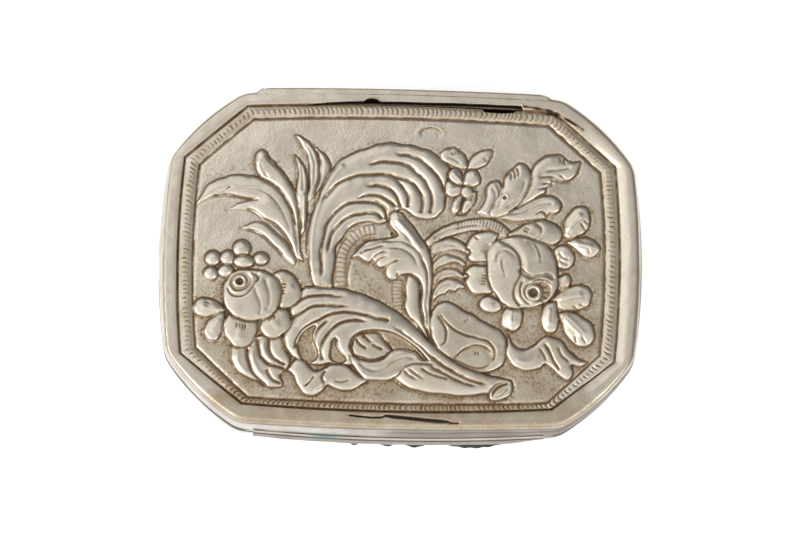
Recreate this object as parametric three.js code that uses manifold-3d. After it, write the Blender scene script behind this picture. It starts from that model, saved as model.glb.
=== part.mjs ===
// A hinged silver tobacco case: a shallow lid with an embossed cover over a deep box with bulging sides.
// Millimetres. +X runs along the hinge, -Y is the front with the thumb lip, and +Z is up.
// The origin is on the table, below the middle of the case.

import * as THREE from "three";
import { mergeVertices } from "three/addons/utils/BufferGeometryUtils.js";
import Module from "manifold-3d";

const wasm = await Module();
wasm.setup();

// Driving dimensions: heights
const mouthHeight = 20; // from the table to the top edge of the box's wall
const skirtHeight = 3.3; // the lid's side band, which stands above that and carries the cover
const crestRise = 1.55; // from the top of the side band to the crest of the cover's rounded border

// Driving dimensions: the lid from above, over its border
const lidLength = 80;
const lidFront = 28.5; // from the middle to the front edge
const lidBack = 28.3; // from the middle to the back edge
const cornerRadius = 6; // each slanting corner is rounded at both ends
const cornerRunX = 8.3; // how much of the length a slanting corner takes between its two roundings
const cornerRunY = 7.8; // and how much of the width
const bowEnd = 0.8; // how far each side bows out past its two corners
const bowCorner = 0.3;
const bowFront = 0.6;
const bowBack = 0.4;

// Driving dimensions: sheet, gaps and the closing lip
const wallSheet = 0.8; // sheet of the wall and of the lid's side band
const coverSheet = 0.5; // sheet of the lid's cover
const baseSheet = 0.7; // sheet of the bottom plate, which the wall stands on
const baseFlange = 0.4; // how far the bottom plate projects past the wall
const baseRounding = 0.25; // rounding under its edge
const solderGap = 0.05; // film of solder between two joined pieces
const closingGap = 0.1; // between the lid's side band and the wall when the case is shut
const bezelSheet = 0.6; // sheet of the inner lip that the lid closes over
const bezelGap = 0.15; // between the inner lip and the bands round it
const bezelDepth = 4.5; // how far the inner lip reaches down inside the wall
const bezelRise = 1.8; // how far it stands up into the lid

// Driving dimensions: cover
const borderStep = 0.5; // how far the cover's outer edge stands above the side band
const borderWidth = 2.9; // from the lid's edge to the chased line inside the border
const grooveDepth = 0.8; // that line lies this far below the crest
const fieldDrop = 0.7; // the chased field lies this far below the crest
const bandWidth = 2.2; // milled band between the two chased lines
const bandWidthFront = 1.4; // it is narrower along the front
const bandRise = 0.25; // its crown above the chased line
const reliefRise = 0.66; // the highest embossed form above the field
const hollowFrom = 2.5; // embossed forms with a half width over this are hollow behind
const hingeSwell = 0.7; // how far the border widens over the hinge
const swellRamp = 3; // length of the curve at each end of that widening

// Driving dimensions: hinge and thumb lip
const hingeLength = 48;
const knuckleCount = 9; // the box holds the odd ones and the lid the even ones
const knuckleRadius = 0.95;
const knuckleGap = 0.08; // between two neighbouring knuckles
const pinRadius = 0.45;
const pinGap = 0.06; // round the pin in its knuckles
const channelSheet = 0.3; // half-round channels that carry the knuckles
const channelGap = 0.07; // between a channel and the knuckles
const channelMeet = 3; // degrees from the level at which the two channels stop, inside
const lidChannelEnd = 60; // degrees above the level, behind the pin
const bodyChannelEnd = 50; // degrees below the level, behind the pin
const hingeAxisOut = 0.2; // how far the pin stands behind the straight part of the wall
const plugHeadRadius = 0.8;
const plugHeadHeight = 0.3;
const plugDepth = 1.2;
const plugClear = 0.15; // between a plug's head and the end of the notch for the hinge
const lipLength = 48.4;
const lipReach = 0.9; // how far the thumb lip stands out in front
const lipSheet = 0.8;

// Driving dimensions: the worn split in the cover, along the back of the milled band
const splitStart = -15.6;
const splitEnd = 19.6;
const splitWidth = 0.5;

// Facets
const cornerFacets = 4;
const longFacets = 12;
const endFacets = 6;
const slantFacets = 3;
const roundFacets = 24;
const stripFacets = 1.5; // steps for each row of an embossed strip's spine
const bossFacets = 8;
const wideBossFacets = 14;

// A plan outline has eight corner centres: one each side of an end (endX, endY), and one at each end
// of the front and of the back (longX). A radius rounds the corners, and each side bows out.
const rimPlan = {
  endX: lidLength / 2 - bowEnd - cornerRadius,
  endY: (lidFront - bowFront + lidBack - bowBack) / 2 - cornerRadius - cornerRunY,
  longX: lidLength / 2 - bowEnd - cornerRadius - cornerRunX,
  frontY: lidFront - bowFront - cornerRadius,
  backY: lidBack - bowBack - cornerRadius,
  radius: cornerRadius,
  bowEnd,
  bowCorner,
  bowFront,
  bowBack,
};
// The mouth of the case is its fullest part.
const mouthPlan = grow(rimPlan, {
  endX: 0.3,
  endY: 0.3,
  frontY: 0.9,
  backY: 0.4,
  bowEnd: 0.3,
  bowFront: 0.4,
});
const basePlan = grow(mouthPlan, {
  endX: -1,
  endY: -0.7,
  longX: -0.6,
  frontY: -1.2,
  backY: -1.1,
  radius: -1,
  bowEnd: -0.4,
  bowFront: -0.6,
});
// The chased line inside the border is a sharper eight-sided figure than the case itself.
const grooveRadius = 0.4;
const sharpening = cornerRadius - borderWidth - grooveRadius;
const groovePlan = grow(rimPlan, {
  endX: sharpening,
  endY: sharpening * 0.8,
  longX: sharpening * 0.33,
  frontY: sharpening - 0.1,
  backY: sharpening + 0.5,
  radius: grooveRadius - cornerRadius,
  bowCorner: -0.25,
  bowFront: 0.3,
  bowBack: 0.3,
});
// The inner line, on the other side of the milled band.
const fieldPlan = grow(groovePlan, {
  endX: -bandWidth,
  endY: -bandWidth * 0.4,
  longX: -bandWidth * 0.4,
  frontY: -bandWidthFront,
  backY: -bandWidth,
});

// Worked-out sizes
const lidBottom = mouthHeight + closingGap;
const skirtTop = lidBottom + skirtHeight;
const coverBottom = skirtTop + solderGap;
const crestHeight = coverBottom + crestRise;
const groove = crestHeight - grooveDepth;
const field = crestHeight - fieldDrop;
const wallBottom = baseSheet + solderGap;
const hingeY = mouthPlan.backY + mouthPlan.radius + hingeAxisOut;
const hingeZ = mouthHeight + closingGap / 2;
const channelInner = knuckleRadius + channelGap;
const channelOuter = channelInner + channelSheet;
const hingeFront = hingeY - channelOuter - solderGap; // the inner lip passes in front of the hinge here
const notchLength = hingeLength + 2 * (solderGap + plugHeadHeight + plugClear);
const knuckleLength = (hingeLength - (knuckleCount - 1) * knuckleGap) / knuckleCount;

function grow(plan, changes) {
  return Object.fromEntries(Object.keys(plan).map((key) => [key, plan[key] + (changes[key] ?? 0)]));
}

function mixPlans(a, b, t) {
  return Object.fromEntries(Object.keys(a).map((key) => [key, a[key] + (b[key] - a[key]) * t]));
}

// The outside of the case at height z. It is fullest at the mouth and curves in above and below.
function sidePlan(z) {
  const below = z <= mouthHeight;
  const reach = below ? mouthHeight - baseSheet : skirtTop - mouthHeight;
  const t = Math.min(1, Math.abs(z - mouthHeight) / reach);
  return mixPlans(mouthPlan, below ? basePlan : rimPlan, 1 - Math.cos((t * Math.PI) / 2));
}

// One closed outline, anticlockwise from above, moved outward by offset.
function outline(plan, offset = 0) {
  const { endX, endY, longX, frontY, backY } = plan;
  const corners = [
    [endX, -endY],
    [endX, endY],
    [longX, backY],
    [-longX, backY],
    [-endX, endY],
    [-endX, -endY],
    [-longX, -frontY],
    [longX, -frontY],
  ];
  const bows = [plan.bowEnd, plan.bowCorner, plan.bowBack, plan.bowCorner];
  bows.push(plan.bowEnd, plan.bowCorner, plan.bowFront, plan.bowCorner);
  const facets = [endFacets, slantFacets, longFacets, slantFacets];
  const sides = corners.map(([x0, y0], i) => {
    const [x1, y1] = corners[(i + 1) % 8];
    const half = Math.hypot(x1 - x0, y1 - y0) / 2;
    const radius = (half * half + bows[i] * bows[i]) / (2 * bows[i]);
    const facing = Math.atan2(x0 - x1, y1 - y0); // direction of the outward normal
    return {
      facing,
      sweep: Math.asin(half / radius),
      radius,
      cx: (x0 + x1) / 2 - Math.cos(facing) * (radius - bows[i]),
      cy: (y0 + y1) / 2 - Math.sin(facing) * (radius - bows[i]),
    };
  });
  const reach = plan.radius + offset;
  const points = [];
  sides.forEach((side, i) => {
    const count = facets[i % 4];
    for (let k = 0; k < count; k++) {
      const angle = side.facing + side.sweep * ((2 * k) / count - 1);
      const r = side.radius + reach;
      points.push(new THREE.Vector2(side.cx + r * Math.cos(angle), side.cy + r * Math.sin(angle)));
    }
    const next = sides[(i + 1) % 8];
    const [x, y] = corners[(i + 1) % 8];
    const from = side.facing + side.sweep;
    let turn = next.facing - next.sweep - from;
    if (turn < 0) turn += 2 * Math.PI;
    for (let k = 0; k < cornerFacets; k++) {
      const angle = from + (turn * k) / cornerFacets;
      points.push(new THREE.Vector2(x + reach * Math.cos(angle), y + reach * Math.sin(angle)));
    }
  });
  return points;
}

// A level ring of points: an outline at a height.
function ring(plan, offset, z) {
  return outline(plan, offset).map((p) => new THREE.Vector3(p.x, p.y, z));
}

function geometryOf(vertices, triangles) {
  const geometry = new THREE.BufferGeometry();
  geometry.setAttribute(
    "position",
    new THREE.Float32BufferAttribute(vertices.flatMap((v) => [v.x, v.y, v.z]), 3),
  );
  geometry.setIndex(triangles);
  return geometry;
}

function quadsBetween(first, second, count, triangles) {
  for (let j = 0; j < count; j++) {
    const k = (j + 1) % count;
    triangles.push(first + j, first + k, second + j, first + k, second + k, second + j);
  }
}

// A band round the case. Its section runs up the outside and down the inside, and closes on itself.
function band(rings) {
  const count = rings[0].length;
  const triangles = [];
  rings.forEach((_, i) => quadsBetween(i * count, ((i + 1) % rings.length) * count, count, triangles));
  return geometryOf(rings.flat(), triangles);
}

function middleOf(points) {
  return points.reduce((sum, p) => sum.add(p), new THREE.Vector3()).divideScalar(points.length);
}

// A solid of rings that follow each other, closed over its first and its last ring. A plate's rings
// run out from the middle below and back to the middle above.
function stack(rings) {
  const count = rings[0].length;
  const triangles = [];
  for (let i = 0; i + 1 < rings.length; i++) quadsBetween(i * count, (i + 1) * count, count, triangles);
  const vertices = rings.flat();
  const first = vertices.push(middleOf(rings[0])) - 1;
  const end = vertices.push(middleOf(rings.at(-1))) - 1;
  const last = (rings.length - 1) * count;
  for (let j = 0; j < count; j++) {
    const k = (j + 1) % count;
    triangles.push(first, k, j, end, last + j, last + k);
  }
  return geometryOf(vertices, triangles);
}

function solidOf(geometry) {
  const bare = geometry.clone();
  bare.deleteAttribute("normal");
  bare.deleteAttribute("uv");
  const merged = mergeVertices(bare, 1e-5);
  return new wasm.Manifold(
    new wasm.Mesh({
      numProp: 3,
      vertProperties: new Float32Array(merged.attributes.position.array),
      triVerts: new Uint32Array(merged.index.array),
    }),
  );
}

function geometryFrom(solid) {
  const mesh = solid.getMesh();
  const geometry = new THREE.BufferGeometry();
  geometry.setAttribute("position", new THREE.BufferAttribute(mesh.vertProperties, 3));
  geometry.setIndex(new THREE.BufferAttribute(mesh.triVerts, 1));
  return geometry;
}

function cut(geometry, tool) {
  return geometryFrom(solidOf(geometry).subtract(solidOf(tool)));
}

function heights(from, to, steps) {
  return Array.from({ length: steps + 1 }, (_, i) => from + ((to - from) * i) / steps);
}

// A band of even sheet that follows the side of the case, its outside set in by inset.
function sideBand(levels, inset, sheet, planAt = sidePlan) {
  const outside = levels.map((z) => ring(planAt(z), -inset, z));
  const inside = levels.map((z) => ring(planAt(z), -inset - sheet, z)).reverse();
  return band([...outside, ...inside]);
}

// The notch that the wall and the lid's side band have for the hinge.
function hingeNotch() {
  return new THREE.CylinderGeometry(
    channelOuter + solderGap,
    channelOuter + solderGap,
    notchLength,
    roundFacets,
  )
    .rotateZ(Math.PI / 2)
    .translate(0, hingeY, hingeZ);
}

function bodyWall() {
  return cut(sideBand(heights(wallBottom, mouthHeight, 4), 0, wallSheet), hingeNotch());
}

function basePlate() {
  return stack([
    ring(basePlan, baseFlange - baseRounding, 0),
    ring(basePlan, baseFlange, baseRounding),
    ring(basePlan, baseFlange, baseSheet),
  ]);
}

// The inner lip stands inside the wall, and its back is drawn in to clear the hinge.
function mouthBezel() {
  const inset = wallSheet + bezelGap;
  const planAt = (z) => {
    const plan = sidePlan(z);
    return { ...plan, backY: hingeFront - (plan.radius - inset) - plan.bowBack };
  };
  const levels = [mouthHeight - bezelDepth, mouthHeight, mouthHeight + bezelRise];
  return sideBand(levels, inset, bezelSheet, planAt);
}

function lidSkirt() {
  return cut(sideBand(heights(lidBottom, skirtTop, 3), 0, wallSheet), hingeNotch());
}

// A ring of the cover's border, a share t of the way from its outer edge to the chased line. Its
// outer edge widens over the hinge.
function borderRing(t, z) {
  const inner = outline(groovePlan);
  return outline(rimPlan).map((p, i) => {
    const over = (hingeLength / 2 + swellRamp / 2 - Math.abs(p.x)) / swellRamp;
    if (p.y > 0) p.y += hingeSwell * THREE.MathUtils.smoothstep(over, 0, 1);
    p.lerp(inner[i], t);
    return new THREE.Vector3(p.x, p.y, z);
  });
}

// The split follows the chased line at the back. Each row holds a share of its length and the half
// widths towards the back and towards the front, as shares of the half width.
function coverSplit() {
  const rows = [
    [0, 0, 0],
    [0.17, 1.3, 0.3],
    [0.33, 1.9, 0.6],
    [0.36, 3.2, 0.7],
    [0.39, 1.9, 0.8],
    [0.6, 1.8, 0.9],
    [0.82, 1.8, 1],
    [0.84, 1.9, 3.6],
    [0.93, 1.9, 3.8],
    [1, 1, 0.6],
  ];
  const half = splitWidth / 2;
  const crown = groovePlan.backY + groovePlan.radius + groovePlan.bowBack;
  const at = (share, side) => {
    const x = splitStart + (splitEnd - splitStart) * share;
    return new THREE.Vector2(x, crown - groovePlan.bowBack * (x / groovePlan.longX) ** 2 + side * half);
  };
  const back = rows.map(([share, behind]) => at(share, behind));
  const front = rows.slice(1).map(([share, , ahead]) => at(share, -ahead));
  const shape = new THREE.Shape([...back, ...front.reverse()]);
  const through = crestHeight - coverBottom + 2;
  return new THREE.ExtrudeGeometry(shape, { depth: through, bevelEnabled: false }).translate(
    0,
    0,
    coverBottom - 1,
  );
}

// Places on the field are written for one 70 mm long and 48 mm wide, and follow the field's real size.
const fieldScale = new THREE.Vector2(
  (fieldPlan.endX + fieldPlan.radius + fieldPlan.bowEnd) / 35,
  (fieldPlan.backY + fieldPlan.radius + fieldPlan.bowBack) / 24,
);

// Embossed leaves, stems and ribbons. Each runs along a spine with rows of x, y and the half width
// there. Its rise is a share of the highest form's.
const strips = [
  // the curling frond at the left, its tall tip and the blades beside it
  {
    rise: 0.7,
    spine: [
      [-33.9, 9.1, 0.4], [-31.2, 11.3, 1.2], [-27.2, 11.8, 1.9], [-22.7, 11.1, 1.8], [-19.1, 7.6, 1.2],
      [-17.5, 2.8, 0.6],
    ],
  },
  { rise: 0.6, spine: [[-29.1, 7.8, 0.3], [-25.6, 8.6, 0.9], [-21.1, 6.6, 1.1], [-18, 2.3, 0.7]] },
  { rise: 0.55, spine: [[-27.1, 4.6, 0.3], [-23.9, 4.8, 0.8], [-20.5, 2.5, 0.9], [-17.6, -0.9, 0.5]] },
  {
    rise: 0.7,
    spine: [
      [-23.8, 17.6, 0.5], [-22.9, 14.9, 1.2], [-19.6, 11.7, 1.1], [-17.6, 5.8, 0.7], [-16.8, -0.7, 0.4],
    ],
  },
  { rise: 0.6, spine: [[-17.8, 16.8, 0.3], [-16.8, 13.5, 0.8], [-16.7, 9.4, 0.5]] },
  { rise: 0.65, spine: [[-17.7, 20.2, 0.3], [-15.2, 17.2, 0.9], [-14.9, 13.5, 0.9], [-16.1, 5.9, 0.4]] },
  { rise: 0.55, spine: [[-14.9, 18.7, 0.3], [-13.2, 15.6, 0.8], [-13.8, 12, 0.5]] },
  // the great C scroll
  {
    rise: 0.85,
    spine: [
      [-12.8, -5.1, 1.4], [-13.4, 0.3, 2.2], [-12.1, 5.9, 3.2], [-8.7, 10.5, 4.8], [-4.2, 12.9, 5.6],
      [0.4, 13.4, 5.3], [4, 11.8, 3.9], [5.3, 8.8, 2],
    ],
  },
  // the acanthus leaf that curls over in the middle, and its tongue
  {
    rise: 0.85,
    spine: [
      [-7.8, 0.6, 0.5], [-4.4, 0.9, 1.6], [-1, 0.9, 3.2], [2, -0.6, 2.6], [4, -4.6, 1.1],
      [4.5, -12.9, 0.5],
    ],
  },
  { rise: 0.85, spine: [[-1.4, 7.5, 0.7], [0.3, 4.7, 1.5], [2.6, 1.1, 1.9]] },
  { rise: 0.45, spine: [[1.7, -2.8, 0.8], [2.1, -7.1, 1.2], [4.2, -12.6, 0.4]] },
  // the long leaf across the lower half, and the lobe below its head
  {
    rise: 0.95,
    spine: [
      [-18.2, -9.4, 0.9], [-13.9, -8.9, 3], [-7.9, -9.1, 3.2], [-2.2, -11, 2.3], [2.7, -14.4, 1.9],
      [7.1, -18.4, 3], [11.8, -20.4, 2.3], [17.6, -21.4, 1.1],
    ],
  },
  { rise: 0.9, spine: [[-18.2, -14.9, 1.2], [-15.2, -13.8, 3], [-11.4, -14.2, 2.8], [-9.6, -16.8, 0.9]] },
  // the ribbon, from the lower left to the right
  {
    rise: 0.75,
    spine: [
      [-18.1, -19.4, 0.6], [-15.1, -20.9, 1.9], [-11.9, -19.7, 1.3], [-8.7, -20, 1.9], [-5.7, -20.4, 0.4],
    ],
  },
  {
    rise: 0.75,
    spine: [
      [-8.2, -17, 0.5], [-5.7, -18.7, 1.4], [-2.1, -18.2, 1.8], [1.2, -16.5, 1.1], [4.8, -17.4, 0.3],
    ],
  },
  {
    rise: 0.6,
    spine: [
      [5.4, -9.5, 0.9], [8.1, -8.8, 1.3], [12.7, -11, 1.3], [16.5, -14, 1.3], [15.8, -17.2, 1.1],
      [12.2, -17.3, 1.5], [8.6, -16.1, 0.6],
    ],
  },
  {
    rise: 0.65,
    spine: [
      [18.1, -13.7, 0.8], [20.7, -16.3, 1.7], [24.2, -14.7, 1.8], [27.2, -15.6, 1.3], [31, -16.7, 0.4],
    ],
  },
  { rise: 0.6, spine: [[25.8, -16.3, 1.1], [26.8, -17.9, 1], [27.7, -19.4, 0.3]] },
  // blades and a petal round the small rose
  { rise: 0.6, spine: [[-26.8, -15.6, 0.9], [-25.7, -18.6, 1.2], [-24.1, -20.5, 0.5]] },
  { rise: 0.6, spine: [[-22.4, -14.9, 1], [-21.4, -17.3, 1.1], [-18.5, -19.3, 0.4]] },
  { rise: 0.55, spine: [[-23.3, -18.4, 0.8], [-21.9, -20.4, 1.1], [-19.3, -21.2, 0.4]] },
  { rise: 0.7, spine: [[-34.3, -8.8, 0.5], [-31.9, -8.8, 1.5], [-29.3, -9.3, 0.5]] },
  // the arm that carries the large rose, and the leaf over it
  { rise: 0.6, spine: [[4.3, 2.3, 0.8], [7.3, 4.9, 1], [11.9, 6.1, 1.1], [17.5, 4.4, 1]] },
  { rise: 0.65, spine: [[17.9, 4.3, 0.6], [22.3, 4.8, 2.1], [26.3, 4.4, 0.9]] },
  // leaves to the right of the large rose
  { rise: 0.7, spine: [[27.2, 4.6, 0.6], [29.3, 6.9, 2], [30.9, 9.2, 0.5]] },
  { rise: 0.65, spine: [[28.2, 3, 0.5], [30.5, 2.7, 1.5], [32.8, 2.4, 0.6]] },
  { rise: 0.7, spine: [[25.8, -6.5, 0.5], [28.7, -6.1, 2.1], [31.5, -5.4, 0.7]] },
  { rise: 0.7, spine: [[26.6, -9.1, 0.6], [29.4, -11.1, 2.1], [31.4, -13.3, 0.7]] },
  // the four lobes of the leaf at the upper right
  { rise: 0.65, spine: [[13.9, 8.6, 1], [14.8, 11.2, 1.3], [15.5, 13.3, 0.5]] },
  { rise: 0.7, spine: [[17.3, 8.4, 0.8], [18.7, 11.6, 1.9], [19.8, 14.5, 1.7], [19.9, 16.4, 0.5]] },
  { rise: 0.65, spine: [[20.3, 10.6, 0.8], [23, 13.9, 1.6], [25.4, 16.2, 1.9], [29.4, 16.3, 0.5]] },
  { rise: 0.65, spine: [[17.9, 8, 0.6], [21.9, 9.2, 1.1], [24.9, 9.9, 1.4], [26.4, 9.6, 0.6]] },
  // two leaves over the small flower
  { rise: 0.5, spine: [[6.5, 17.9, 0.4], [8.6, 17.6, 1.2], [10.7, 16.1, 0.4]] },
  { rise: 0.5, spine: [[11.2, 16.1, 0.4], [12.8, 17.1, 1.1], [14.8, 18.7, 0.3]] },
];

// Embossed domes, each with its place, its radii across and up, and its rise as a share.
const bosses = [
  // the two roses
  { x: 20, y: -1.7, across: 5.7, up: 5.8, rise: 1 },
  { x: -24.9, y: -6.6, across: 4.8, up: 4.1, rise: 0.95 },
  // petals and small leaves round the large rose
  { x: 27.2, y: 0.8, across: 1.7, up: 1.8, rise: 0.6 },
  { x: 26.9, y: -3.4, across: 1.3, up: 1.2, rise: 0.6 },
  { x: 24.7, y: -9.5, across: 1.4, up: 2.3, rise: 0.65 },
  { x: 18.3, y: -9.6, across: 1.7, up: 2.1, rise: 0.65 },
  { x: 15.1, y: -7.3, across: 2, up: 1.4, rise: 0.6 },
  { x: 13.1, y: -3.9, across: 2, up: 1.5, rise: 0.6 },
  { x: 12.8, y: -1, across: 1.7, up: 1.3, rise: 0.6 },
  { x: 13.2, y: 2.2, across: 2, up: 2.5, rise: 0.6 },
  // petals round the small rose
  { x: -19, y: -5.5, across: 2.3, up: 2.9, rise: 0.65 },
  { x: -26.5, y: -12.8, across: 2.6, up: 2.6, rise: 0.7 },
  { x: -21, y: -11.3, across: 2.7, up: 2.4, rise: 0.7 },
  { x: -31.1, y: -12, across: 1.7, up: 2.3, rise: 0.65 },
  // berries
  { x: -31.5, y: -0.5, across: 1.3, up: 1.3, rise: 0.75 },
  { x: -29, y: -0.4, across: 1.3, up: 1.3, rise: 0.75 },
  { x: -26.7, y: 1.2, across: 1.4, up: 1.4, rise: 0.75 },
  { x: -23.5, y: -0.4, across: 1.2, up: 1.1, rise: 0.75 },
  { x: -26.3, y: -1, across: 1.7, up: 1.1, rise: 0.75 },
  { x: -31.8, y: -3.1, across: 1.2, up: 1.2, rise: 0.75 },
  { x: -29.3, y: -2.6, across: 1.3, up: 1.1, rise: 0.75 },
  // the small flower's petals and its eye
  { x: 8.8, y: 14.3, across: 1.3, up: 1.3, rise: 0.6 },
  { x: 11.5, y: 13.9, across: 1.3, up: 1.3, rise: 0.6 },
  { x: 8.2, y: 12, across: 1.2, up: 1.2, rise: 0.6 },
  { x: 8.7, y: 9.5, across: 1, up: 1.5, rise: 0.6 },
  { x: 10.9, y: 9.7, across: 1.1, up: 1.6, rise: 0.6 },
  { x: 10.6, y: 11.6, across: 1, up: 1, rise: 0.85 },
];

// A strip embossed along a spine, down to foot. shrink makes the hollow behind it: narrower on each
// side and lower.
function embossedStrip({ rise, spine }, shrink, foot) {
  const curve = new THREE.CatmullRomCurve3(spine.map(([x, y, half]) => new THREE.Vector3(x, y, half)));
  const steps = Math.round(stripFacets * (spine.length - 1));
  const high = rise * reliefRise;
  const section = [[1, foot], [1, 0], [0.55, high], [-0.55, high], [-1, 0], [-1, foot]];
  const rings = heights(0, 1, steps).map((t) => {
    const place = curve.getPoint(t);
    const along = curve.getTangent(t).setZ(0).normalize();
    const half = Math.max(place.z - shrink, 0.1);
    return section.map(([side, z]) => {
      const x = (place.x - along.y * half * side) * fieldScale.x;
      const y = (place.y + along.x * half * side) * fieldScale.y;
      return new THREE.Vector3(x, y, field + z - shrink);
    });
  });
  return stack(rings);
}

// A low dome. shrink makes the hollow behind it.
function embossedBoss({ x, y, across, up, rise }, shrink, foot) {
  const high = rise * reliefRise;
  const facets = across > hollowFrom ? wideBossFacets : bossFacets;
  const rows = [[1, foot], [1, 0], [0.75, high * 0.7], [0.25, high]];
  const rings = rows.map(([share, z]) =>
    Array.from({ length: facets }, (_, i) => {
      const angle = (2 * Math.PI * i) / facets;
      const px = x + (across - shrink) * share * Math.cos(angle);
      const py = y + (up - shrink) * share * Math.sin(angle);
      return new THREE.Vector3(px * fieldScale.x, py * fieldScale.y, field + z - shrink);
    }),
  );
  return stack(rings);
}

// The embossed forms as one solid, or the hollows behind the wide ones.
function relief(shrink, foot) {
  const wide = (half) => shrink === 0 || half > hollowFrom;
  const forms = strips
    .filter(({ spine }) => wide(Math.max(...spine.map(([, , half]) => half))))
    .map((strip) => embossedStrip(strip, shrink, foot));
  forms.push(...bosses.filter(({ across }) => wide(across)).map((boss) => embossedBoss(boss, shrink, foot)));
  return forms.map(solidOf).reduce((all, form) => all.add(form));
}

// The cover is one sheet: a rounded hollow border, a milled band between two chased lines, and a field
// embossed from below.
function lidCover() {
  const edge = coverBottom + borderStep;
  const rise = crestHeight - edge;
  const crown = (t, share) => ring(mixPlans(groovePlan, fieldPlan, t), 0, groove + bandRise * share);
  const above = [
    borderRing(0, edge),
    borderRing(0.12, edge + rise * 0.5),
    borderRing(0.32, edge + rise * 0.88),
    borderRing(0.58, crestHeight),
    borderRing(0.82, crestHeight - rise * 0.14),
    borderRing(0.94, crestHeight - rise * 0.4),
    crown(0, 0),
    crown(0.28, 0.8),
    crown(0.58, 1),
    crown(0.86, 0.6),
    crown(1, 0),
    ring(fieldPlan, -0.35, field),
  ];
  const below = [
    ring(fieldPlan, 0, groove - coverSheet),
    borderRing(0.9, groove - coverSheet),
    borderRing(0.6, crestHeight - coverSheet),
    borderRing(0.48, coverBottom),
    borderRing(0, coverBottom),
  ];
  const sheet = solidOf(stack([...below, ...above]));
  const forms = relief(0, -coverSheet / 2);
  const hollows = relief(coverSheet, -coverSheet);
  return geometryFrom(sheet.add(forms).subtract(hollows).subtract(solidOf(coverSplit())));
}

// The thumb lip follows the bowed front of the lid's side band, with its outer edge rounded over.
function thumbLip() {
  const top = lidBottom + lipSheet;
  const strip = band([
    ring(sidePlan(lidBottom), lipReach * 0.8, lidBottom),
    ring(sidePlan(lidBottom), lipReach, lidBottom + lipSheet * 0.35),
    ring(sidePlan(lidBottom), lipReach * 0.85, lidBottom + lipSheet * 0.85),
    ring(sidePlan(lidBottom), lipReach * 0.6, top),
    ring(sidePlan(top), solderGap, top),
    ring(sidePlan(lidBottom), solderGap, lidBottom),
  ]);
  const front = new THREE.BoxGeometry(lipLength, lidFront, 2 * lipSheet).translate(0, -lidFront, lidBottom);
  return geometryFrom(solidOf(strip).intersect(solidOf(front)));
}

// A half-round channel along the hinge, between two angles about the pin.
function hingeChannel(fromDegrees, toDegrees) {
  const angles = heights(fromDegrees, toDegrees, 10).map(THREE.MathUtils.degToRad);
  const at = (radius, angle) => new THREE.Vector2(radius * Math.cos(angle), radius * Math.sin(angle));
  const shape = new THREE.Shape([
    ...angles.map((a) => at(channelOuter, a)),
    ...angles.reverse().map((a) => at(channelInner, a)),
  ]);
  return new THREE.ExtrudeGeometry(shape, { depth: hingeLength, bevelEnabled: false })
    .rotateX(Math.PI / 2)
    .rotateZ(Math.PI / 2)
    .translate(-hingeLength / 2, hingeY, hingeZ);
}

// A turned shape about the hinge pin. The profile holds [distance along X, radius] rows.
function hingeLathe(profile) {
  const points = profile.map(([x, radius]) => new THREE.Vector2(radius, x));
  return new THREE.LatheGeometry(points, roundFacets).rotateZ(-Math.PI / 2).translate(0, hingeY, hingeZ);
}

function knuckle(index) {
  const start = -hingeLength / 2 + index * (knuckleLength + knuckleGap);
  const end = start + knuckleLength;
  const bore = pinRadius + pinGap;
  return hingeLathe([
    [start, bore],
    [start, knuckleRadius],
    [end, knuckleRadius],
    [end, bore],
    [start, bore],
  ]);
}

function hingePin() {
  const half = hingeLength / 2 - plugDepth - solderGap;
  return hingeLathe([
    [-half, 0],
    [-half, pinRadius],
    [half, pinRadius],
    [half, 0],
  ]);
}

// A plug that closes the bore of an outer knuckle. side is -1 at the left and 1 at the right.
function pinPlug(side) {
  const inner = hingeLength / 2 - plugDepth;
  const face = hingeLength / 2 + solderGap;
  const profile = [
    [inner, 0],
    [inner, pinRadius],
    [face, pinRadius],
    [face, plugHeadRadius],
    [face + plugHeadHeight * 0.6, plugHeadRadius * 0.8],
    [face + plugHeadHeight, 0],
  ];
  return hingeLathe(side > 0 ? profile : profile.map(([x, r]) => [-x, r]).reverse());
}

// Materials
const silver = new THREE.MeshStandardMaterial({ color: 0xb9b0a4, roughness: 0.35, metalness: 1 });
const chasedSilver = new THREE.MeshStandardMaterial({ color: 0xaaa092, roughness: 0.42, metalness: 1 });
const innerSilver = new THREE.MeshStandardMaterial({ color: 0xa69a86, roughness: 0.5, metalness: 1 });
const steel = new THREE.MeshStandardMaterial({ color: 0x77736e, roughness: 0.45, metalness: 1 });

function piece(name, geometry, material) {
  const mesh = new THREE.Mesh(geometry, material);
  mesh.name = name;
  return mesh;
}

const box = new THREE.Group();
box.add(
  piece("body_wall", bodyWall(), silver),
  piece("base_plate", basePlate(), silver),
  piece("mouth_bezel", mouthBezel(), innerSilver),
  piece("body_hinge_channel", hingeChannel(180 + channelMeet, 360 - bodyChannelEnd), silver),
  piece("hinge_pin", hingePin(), steel),
  piece("pin_plug_left", pinPlug(-1), silver),
  piece("pin_plug_right", pinPlug(1), silver),
);

const lid = new THREE.Group();
lid.add(
  piece("lid_cover", lidCover(), chasedSilver),
  piece("lid_skirt", lidSkirt(), silver),
  piece("thumb_lip", thumbLip(), silver),
  piece("lid_hinge_channel", hingeChannel(lidChannelEnd, 180 - channelMeet), silver),
);

for (let i = 0; i < knuckleCount; i++) {
  const onBox = i % 2 === 0;
  const number = Math.floor(i / 2) + 1;
  const name = onBox ? `body_knuckle_${number}` : `lid_knuckle_${number}`;
  (onBox ? box : lid).add(piece(name, knuckle(i), silver));
}

const tobaccoCase = new THREE.Group();
tobaccoCase.add(box, lid);

export default tobaccoCase;
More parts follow.
